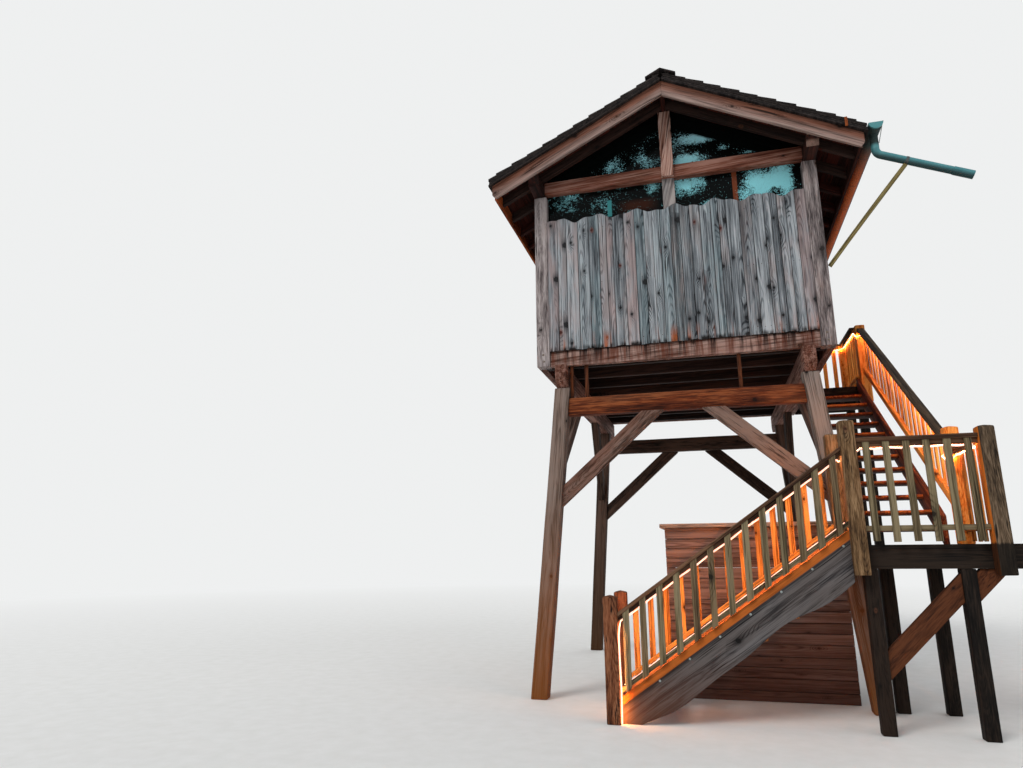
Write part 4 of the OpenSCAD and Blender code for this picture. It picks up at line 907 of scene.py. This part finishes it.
def door_leaf():
    """A boarded leaf with three ledges and two braces, open against the wall's inside."""
    piece = Piece("door_leaf", "door_wood", "door_wood", "door")
    y0, y1 = DOOR_Y0 - DOOR_W + 0.006, DOOR_Y0
    z0, z1 = FLOOR_Z + 0.002, FLOOR_Z + DOOR_H - 0.003
    x0, x1 = WALL_X - DOOR_T, WALL_X - DOOR_T + LEDGE_T
    board_run(piece, (x1, y0, z0), (WALL_X, y1, z1), 1, 0.125, 2, None, gap=0.003)
    ledges = (z0 + 0.2, z0 + 0.86, z1 - 0.3)
    for z in ledges:
        piece.member(block((x0, y0 + 0.04, z), (x1, y1 - 0.04, z + LEDGE_H)), ALONG_Y, bevel=0.003)
    for foot, head in zip(ledges, ledges[1:]):
        corners = [at(x, y, z) for a, b, z in ((y0 + 0.06, y0 + 0.18, foot + LEDGE_H),
                                               (y1 - 0.18, y1 - 0.06, head))
                   for x, y in ((x0, a), (x0, b), (x1, b), (x1, a))]
        piece.member(hexa(corners), (0, 0.6, 0.55), bevel=0.003)
    piece.make()


def floors():
    """The boards of the cabin's floor, the landing and the gallery."""
    deck = Piece("floor_boarding", "under_timber", "floor_timber", "floor_deck")
    inset, z0, z1, edge = HALF_W - RIM_T, FLOOR_Z - FLOOR_T, FLOOR_Z, BOARD_T + RIM_T
    for a, b, end in ((-INNER_X, INNER_X, edge), (-inset, -INNER_X, POST_W),
                      (INNER_X, inset, POST_W)):
        board_run(deck, (a, end, z0), (b, DEPTH - end, z1), 0, 0.14, 1)
    deck.make()
    land = Piece("landing_boarding", "deck_timber", "deck_timber", "landing_deck")
    z0, z1 = LANDING_Z - DECK_T, LANDING_Z
    board_run(land, (LANDING_X, DECK_FRONT, z0), (LANDING_END, LANDING_BACK, z1), 1, 0.165, 0)
    board_run(land, (UPPER_X, LANDING_BACK, z0), (LANDING_END, UPPER_Y, z1), 1, 0.14, 0)
    land.make()
    top = Piece("gallery_boarding", "deck_timber", "deck_timber", "gallery_deck")
    board_run(top, (HALF_W, GALLERY_Y, FLOOR_Z - DECK_T), (GALLERY_X1, GALLERY_END, FLOOR_Z),
              0, 0.14, 1)
    top.make()


def frames():
    """The beams under the landing and the gallery; each is x0, y0, x1, y1 and its axis."""
    t, end = BEAM_T, GALLERY_X1 - BEAM_T
    landing = [(LANDING_X, DECK_FRONT, LANDING_END, DECK_FRONT + t, ALONG_X),
               (UPPER_X, UPPER_Y - t, LANDING_END, UPPER_Y, ALONG_X)]
    landing += [(x, DECK_FRONT + t, x + t, UPPER_Y - t, ALONG_Y)
                for x in (UPPER_X, (UPPER_X + LANDING_END) / 2, LANDING_END - t)]
    landing += [(LANDING_X, DECK_FRONT + t, LANDING_X + t, LANDING_BACK, ALONG_Y),
                (LANDING_X + t, LANDING_BACK - t, UPPER_X, LANDING_BACK, ALONG_X)]
    gallery = [(HALF_W, y, end, y + t, ALONG_X)
               for y in (GALLERY_Y, (GALLERY_Y + GALLERY_END - t) / 2, GALLERY_END - t)]
    gallery += [(end, GALLERY_Y, GALLERY_X1, GALLERY_END, ALONG_Y)]
    for name, node, deck_z, beams in (("landing_beams", "landing_frame", LANDING_Z, landing),
                                      ("gallery_beams", "gallery_frame", FLOOR_Z, gallery)):
        piece = Piece(name, "deck_timber", "deck_timber", node)
        low, high = deck_z - DECK_T - BEAM_D, deck_z - DECK_T
        for x0, y0, x1, y1, axis in beams:
            piece.member(block((x0, y0, low), (x1, y1, high)), axis)
        piece.make()


side_walls()
door_leaf()
floors()
frames()


# ---- roof
def slope_point(side, s, y, depth):
    """A point s metres down the slope from the ridge, depth metres over the roof boards' top."""
    x = s * math.cos(PITCH)
    return at(side * x, y, roof_z(x) + depth * PLUMB)


def slope_hexa(side, *corners):
    return hexa([slope_point(side, *corner) for corner in corners])


def slope_box(side, s0, s1, y0, y1, d0, d1):
    """A board on the slope between two distances, two ends and two heights."""
    return slope_hexa(side, (s0, y0, d0), (s0, y1, d0), (s0, y1, d1), (s0, y0, d1),
                      (s1, y0, d0), (s1, y1, d0), (s1, y1, d1), (s1, y0, d1))


def roof_boards():
    boards = Piece("roof_boarding", "rafter_wood", "rafter_wood", "roof_boards")
    for side in (-1, 1):
        s = 0.012
        for w in widths(EAVE_X * PLUMB - 0.014, 0.14, 0.1):
            a, b = s + 0.002, s + w - 0.002
            s += w
            bm = slope_box(side, a, b, ROOF_Y0 + BARGE_T, ROOF_Y1 - BARGE_T, -ROOF_T,
                           -rnd.uniform(0, 0.002))
            boards.member(bm, ALONG_Y, **dict(BOARD_WEAR, step=0.6, chip=0.0006))
    boards.make()


def shingles():
    """Three thin layers with double courses of loose shingles over them, then the ridge."""
    cover = Piece("roof_shingles", "shingle_wood", "shingle_wood", "shingles")
    y0, y1, cover_s = ROOF_Y0 - COVER_OUT, ROOF_Y1 + COVER_OUT, COVER_X * PLUMB
    layer, course = COVER_T / 3, cover_s / COURSE_N
    for side in (-1, 1):
        for k in range(3):
            cut = rnd.uniform(0, 0.012)
            bm = slope_box(side, 0.006 + 0.012 * k, cover_s - 0.004 - 0.006 * k, y0 + cut,
                           y1 - cut, k * layer + 0.0005, (k + 1) * layer - 0.0015)
            cover.member(bm, ALONG_Y, (1, 0, 1), bevel=0.002, step=0.25, bow=0.002, chip=0.002,
                         segments=1)
        down = slope_point(side, 1, 0, 0) - slope_point(side, 0, 0, 0)
        for line in range(2 * COURSE_N):
            butt, upper = cover_s - line // 2 * course, line % 2
            y = y0 + rnd.uniform(0, 0.006)
            s = butt - upper * course / 2
            while y < y1 - 0.03:
                w = min(rnd.uniform(*SHINGLE_WIDTHS), y1 - y)
                if y1 - (y + w) < 0.05:
                    w = y1 - y
                low_s = s + rnd.uniform(-0.014, 0.0)
                top = max(s - course * 1.6, 0.02)
                d0 = COVER_T - 0.004 + upper * 0.004
                t0 = COVER_T + upper * 0.013
                t1 = t0 + SHINGLE_T * rnd.uniform(0.8, 1.15)
                low_b = low_s + rnd.uniform(-0.003, 0.003)
                a, b = y + 0.002, y + w - 0.002
                d1 = d0 + SHINGLE_EDGE
                bm = slope_hexa(side, (top, a, d0), (top, b, d0), (top, b, d1), (top, a, d1),
                                (low_s, a, t0 - 0.002), (low_b, b, t0 - 0.002),
                                (low_b, b, t1), (low_s, a, t1))
                cover.take(bm, down, ALONG_Y)
                y += w
    cover.make()
    cap = Piece("ridge_boards", "shingle_wood", "shingle_wood", "ridge_cap")
    base = COVER_T + COURSE_T * (CAP_W - 0.002) * COURSE_N / (COVER_X - 0.002)
    wide = CAP_W * PLUMB
    for side in (-1, 1):
        for k in range(CAP_N):
            a = y0 + (y1 - y0) * k / CAP_N
            b = y0 + (y1 - y0) * (k + 1) / CAP_N + (0.05 if k < CAP_N - 1 else 0.0)
            bm = slope_hexa(side, (0.0, a, base + 0.010), (wide, a, base + 0.010),
                            (wide, a, base + CAP_T), (0.0, a, base + CAP_T),
                            (0.0, b, base - 0.004), (wide, b, base - 0.004),
                            (wide, b, base + 0.012), (0.0, b, base + 0.012))
            cap.member(bm, ALONG_Y, bevel=0.002, step=0.2, bow=0.001, chip=0.001, segments=1)
    cap.make()


roof_boards()
shingles()


# ---- railings
def panel(bars, caps, start, run, out, length, slope, low=RAIL_LOW, under=BAL_LOW, height=RAIL_H,
          low_d=RAIL_D):
    """A railing from a start point: run is its direction, out the side of the balusters."""
    run, out, start = Vector(run), Vector(out), Vector(start)
    along = (run + Vector((0, 0, slope))).normalized()

    def strip(piece, s0, s1, h0, h1, o0, o1, axis, bevel, bow=0.002):
        corners = [at(*(start + run * s + out * o)) + Vector((0, 0, slope * s + h))
                   for s in (s0, s1) for h, o in ((h0, o0), (h0, o1), (h1, o1), (h1, o0))]
        piece.member(hexa(corners), axis, out, bevel=bevel, step=0.25, bow=bow, chip=0.001)

    top, half = height - HAND_D, RAIL_T / 2
    strip(caps, 0, length, top, height, -HAND_W / 2, HAND_W / 2, along, 0.007, 0.003)
    strip(caps, 0, length, top - RAIL_D, top, -half, half, along, 0.004)
    strip(bars, 0, length, low, low + low_d, -half, half, along, 0.004)
    n = max(1, round(length / BAL_STEP))
    for i in range(n):
        a = (i + 0.5) * length / n - BAL_W / 2
        wide = BAL_W * rnd.uniform(0.94, 1.0)
        strip(bars, a, a + wide, under + rnd.uniform(-0.004, 0.008), top, half,
              half + BAL_T * rnd.uniform(0.9, 1.0), UP, 0.003, 0.0015)


def railings():
    half = NEWEL_W / 2
    x0 = FOOT_X + half
    z0 = LOWER_RISE + (x0 - LOWER_X) * LOWER_M
    flight = (TOP_X - half - x0, LOWER_M, STRING_UP + 0.03, STRING_UP + 0.01)
    caps = Piece("lower_railing_caps", "hand_wood", "rail_wood")
    front = Piece("lower_railing_bars", "rail_wood", "rail_wood", "lower_railings")
    panel(front, caps, (x0, FRONT_Y, z0), ALONG_X, FRONT, *flight)
    back = Piece("lower_railing_back_bars", "rail_painted_glow", "rail_wood")
    panel(back, caps, (x0, BACK_RAIL_Y, z0), ALONG_X, ALONG_Y, *flight)
    front.make()
    back.make()
    front = Piece("landing_railing_bars", "rail_wood", "rail_wood", "landing_railings")
    xa, ya = TOP_X + half, FRONT_Y + half
    panel(front, caps, (xa, FRONT_Y, LANDING_Z), ALONG_X, FRONT, END_X - half - xa, 0)
    side = Piece("landing_railing_side_bars", "rail_painted_glow", "rail_wood")
    panel(side, caps, (END_X, ya, LANDING_Z), ALONG_Y, ALONG_X, UPPER_FOOT_Y - half - ya, 0)
    front.make()
    side.make()
    caps.make()
    y0 = UPPER_FOOT_Y + half
    z0 = LANDING_Z + UPPER_RISE + (y0 - UPPER_Y) * UPPER_M
    # the upper caps take a darker copy of the rail wood: painted shade
    caps = Piece("upper_railing_caps", "upper_hand_wood", "upper_rail_wood")
    bars = Piece("upper_railing_bars", "upper_rail_wood", "upper_rail_wood", "upper_railing")
    panel(bars, caps, (END_X, y0, z0), ALONG_Y, ALONG_X, GALLERY_Y - NEWEL_W - y0, UPPER_M,
          0.23, 0.19, RAIL_H, UPPER_RAIL_D)
    bars.make()
    bars = Piece("gallery_railing_bars", "upper_rail_wood", "upper_rail_wood", "gallery_railings")
    panel(bars, caps, (GALLERY_RAIL_X, GALLERY_Y, FLOOR_Z), ALONG_Y, ALONG_X,
          GALLERY_END - NEWEL_W - GALLERY_Y, 0, height=GALLERY_RAIL_H)
    panel(bars, caps, (HALF_W, GALLERY_END - half, FLOOR_Z), ALONG_X, ALONG_Y,
          GALLERY_RAIL_X - half - HALF_W, 0, height=GALLERY_RAIL_H)
    bars.make()
    caps.make()


# ---- store
def store():
    piece = Piece("store_boarding", "store_boards", "store_boards", "store_walls")
    x0, x1, y0, y1, t = STORE_X, STORE_END, STORE_Y, STORE_Y + STORE_D, STORE_T
    for low, high, along, lay in (
            ((x0, y0), (x1, y0 + t), 0, "low"), ((x0, y1 - t), (x1, y1), 0, "high"),
            ((x0, y0 + t), (x0 + t, y1 - t), 1, "low"),
            ((x1 - t, y0 + t), (x1, y1 - t), 1, "high")):
        board_run(piece, (*low, 0), (*high, STORE_H), 2, 0.106, along, lay)
    piece.make()
    lid = Piece("store_lid_boards", "store_top", "store_top", "store_lid")
    board_run(lid, (x0 - LID_OUT, y0 - LID_OUT, STORE_H), (x1, y1 + LID_OUT, STORE_H + LID_T),
              1, 0.15, 0, bevel=0.004)
    lid.make()


# ---- fixings
def dome(piece, spot, normal, radius, high=0.45):
    """A nail or bolt head: a low dome on a face."""
    bm = bmesh.new()
    bmesh.ops.create_uvsphere(bm, u_segments=10, v_segments=6, radius=1.0)
    normal = Vector(normal)
    turn = Vector(UP).rotation_difference(normal).to_matrix()
    for v in bm.verts:
        v.co = at(*spot) + turn @ Vector((v.co.x * radius, v.co.y * radius, v.co.z * radius * high))
    piece.take(bm, UP, normal)


def fixings():
    """Nails in the gable boards, screws and bolts in the stringers, posts and king posts."""
    nails = Piece("nail_heads", "nail_metal", "gutter_paint")
    bolts = Piece("bolt_heads", "bolt_metal", "gutter_paint")
    screws = Piece("screw_heads", "pale_metal", "gutter_paint")
    for z in (FLOOR_Z + 0.075, FLOOR_Z + 0.78, FLOOR_Z + 1.46):
        x = -INNER_X + 0.04
        while x < INNER_X - 0.02:
            for y, out in ((0.003, FRONT), (DEPTH - 0.003, ALONG_Y)):
                dome(nails, (x + rnd.uniform(-0.008, 0.008), y, z + rnd.uniform(-0.008, 0.008)),
                     out, 0.0045)
            x += rnd.choice((0.055, 0.075, 0.09))
    for i in range(LOWER_N - 1):
        x = LOWER_X + (i + 0.45) * LOWER_GOING
        z = LOWER_RISE + (x - LOWER_X) * LOWER_M + STRING_UP - 0.095
        dome(screws, (x, FRONT_Y + 0.001, z), FRONT, 0.011, 0.35)
        dome(bolts, (x, BACK_RAIL_Y + NEWEL_W / 2 - 0.001, z), ALONG_Y, 0.011, 0.35)
    gables = ((0.0, FRONT), (DEPTH, ALONG_Y))
    for x in (-HALF_W + POST_W / 2, HALF_W - POST_W / 2):
        for z in (FLOOR_Z - 0.13, FLOOR_Z - 0.05, TIE_Z + 0.05):
            for y, out in gables:
                dome(bolts, (x + rnd.uniform(-0.02, 0.02), y, z), out, 0.014, 0.4)
    for z in (TIE_Z + 0.045, TIE_Z + 0.11):
        for y, out in gables:
            dome(bolts, (0.0, y, z), out, 0.010, 0.4)
    nails.make()
    bolts.make()
    screws.make()


def circle(n, u, v, radius):
    """The points of a circle in the plane of two unit vectors."""
    return [(u * math.cos(math.tau * k / n) + v * math.sin(math.tau * k / n)) * radius
            for k in range(n)]


def gutter_parts():
    """The bead on the gutter's rim, pale as a painted highlight, the clip on its pipe, the roof's
    strap and the end's wire.
    """
    gx, gz = gutter_high.x - SHIFT.x - 0.07, gutter_high.z
    foot_z, y0, y1 = gutter_low.z, gutter_low.y - SHIFT.y, gutter_high.y - SHIFT.y
    pipe_y = ROOF_Y0 + 0.12
    side, sky = Vector(ALONG_Y), Vector(UP)
    # pale: a painted highlight on the gutter's lip
    bead = Piece("gutter_bead", "pale_metal", "gutter_paint")
    ring = [at(gx + 0.066, y0, gz - 0.002) + p for p in circle(10, Vector(ALONG_X), sky, 0.006)]
    bead.member(prism(ring, side * (y1 - y0)), ALONG_Y, bevel=0.0, step=0.5, bow=0.0015,
                chip=0.0004)
    bead.make()

    clip = Piece("pipe_clip", "clip_metal", "gutter_paint")
    fall, bend_r, n = math.radians(24), 0.08, 24
    axis = Vector((math.cos(fall), 0, -math.sin(fall)))
    start = Vector((gx + bend_r * (1 - math.sin(fall)), pipe_y, foot_z - bend_r * math.cos(fall)))
    spot = at(*(start + axis * 0.25))
    for wide, inner, outer in ((0.010, 0.041, 0.0445), (0.028, 0.041, 0.0425)):
        bm = bmesh.new()
        rows = []
        for d in circle(n, side, axis.cross(side), 1.0):
            rows.append([bm.verts.new(spot + d * q + axis * w) for q, w in (
                (inner, -wide / 2), (outer, -wide / 2), (outer, wide / 2), (inner, wide / 2))])
        for a, b in zip(rows, rows[1:] + rows[:1]):
            for j in range(4):
                bm.faces.new((a[j], a[(j + 1) % 4], b[(j + 1) % 4], b[j]))
        bmesh.ops.recalc_face_normals(bm, faces=bm.faces)
        clip.take(bm, axis, ALONG_Y)
    clip.make()

    strap = Piece("roof_strap", "fascia_wood", "barge_wood")
    y = ROOF_Y0 - COVER_OUT
    strap.member(block((STRAP_X[0], y - 0.008, STRAP_Z[0]), (STRAP_X[1], y + 0.002, STRAP_Z[1])),
                 UP, ALONG_Y, bevel=0.002, step=0.05)
    strap.make()

    wire = Piece("gutter_wire", "pale_metal", "gutter_paint")
    head = Vector((gx + 0.062, y0 + 0.004, gz - 0.01))
    ray = Vector((gx + 0.036, pipe_y - 0.03, foot_z + 0.05)) - head
    u = ray.cross(Vector(ALONG_X)).normalized()
    ring = [at(*head) + p for p in circle(8, u, ray.normalized().cross(u), 0.004)]
    wire.take(prism(ring, ray), ray)
    wire.make()


railings()
store()
fixings()
gutter_parts()

# ---- kept nodes
for node, mat in (("gutter", "gutter_body"), ("pipe_elbow", "gutter_paint"),
                  ("rain_pipe", "gutter_paint"), ("gable_glass", "window_glass"),
                  ("rope_light", "rope_glow")):
    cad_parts[node].data.materials.clear()
    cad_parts[node].data.materials.append(MATS[mat])


# ---- stage
def stage():
    """A pale floor that fades into the white background, the sky's light and three lamps."""
    bpy.ops.mesh.primitive_plane_add(size=120, location=(0, 0, 0))
    floor = bpy.context.object
    floor.name = "floor"
    t, place, _ = new_tree("floor_pale")
    fine = t.span(t.noise(place, 6.0, 4.0), 0.3, 0.7)
    mat = t.finish(t.mix(fine, srgb(226, 225, 222), srgb(232, 231, 229)), 0.9, specular=0.1)
    far = t.span(t.length(place), 7.0, 26.0)
    t.put(t.nodes["Material Output"].inputs[0], t.node("ShaderNodeMixShader", {
        0: far * t.node("ShaderNodeLightPath", out="Is Camera Ray"),
        1: t.nodes["Principled BSDF"].outputs[0],
        2: t.node("ShaderNodeEmission", {"Color": PAPER})}))
    floor.data.materials.append(mat)

    world = bpy.data.worlds.new("studio")
    bpy.context.scene.world = world
    t = Tree(world)
    back = t.nodes["Background"]
    t.put(back.inputs["Color"], (0.92, 0.96, 1.0, 1.0))
    t.put(back.inputs["Strength"], 0.55)
    rays = t.node("ShaderNodeLightPath", out=("Is Camera Ray", "Is Transmission Ray"))
    t.put(t.nodes["World Output"].inputs[0], t.node("ShaderNodeMixShader", {
        0: t.math("MAXIMUM", *rays), 1: back.outputs[0],
        2: t.node("ShaderNodeBackground", {"Color": PAPER})}))

    # lamps: name, tilt and turn in degrees, strength, size in degrees, colour
    for name, tilt, turn, strength, size, color in (
            ("key", 48, -32, 1.35, 25, (1.0, 0.985, 0.96)),
            ("fill", 62, 60, 0.35, 60, (0.94, 0.97, 1.0)),
            ("back", 55, 165, 0.55, 60, (1.0, 0.98, 0.95))):
        lamp = bpy.data.lights.new(name, "SUN")
        lamp.energy, lamp.angle, lamp.color = strength, math.radians(size), color
        obj = bpy.data.objects.new(name, lamp)
        obj.rotation_euler = (math.radians(tilt), 0, math.radians(turn))
        bpy.context.scene.collection.objects.link(obj)


def camera():
    """The photograph's view: focal length and width in pixels, angles in degrees."""
    focal, width, sensor, place = 704.9, 1023, 36, at(0.196, -7.655, 1.462)
    pitch, roll, yaw = math.radians(13.404), math.radians(-0.443), math.radians(15.358)
    ahead = Vector((-math.sin(yaw), math.cos(yaw), 0))
    right = Vector((math.cos(yaw), math.sin(yaw), 0))
    up = Vector(UP)
    look = ahead * math.cos(pitch) + up * math.sin(pitch)
    top = up * math.cos(pitch) - ahead * math.sin(pitch)
    side = right * math.cos(roll) + top * math.sin(roll)
    head = top * math.cos(roll) - right * math.sin(roll)
    data = bpy.data.cameras.new("camera")
    data.sensor_fit, data.sensor_width = "HORIZONTAL", sensor
    data.lens = sensor * focal / width
    data.clip_end = 500
    obj = bpy.data.objects.new("camera", data)
    turn = Matrix((side, head, -look)).transposed().to_4x4()
    obj.matrix_world = Matrix.Translation(place) @ turn
    bpy.context.scene.collection.objects.link(obj)
    bpy.context.scene.camera = obj


stage()
camera()
bpy.context.scene.view_settings.view_transform = "Standard"
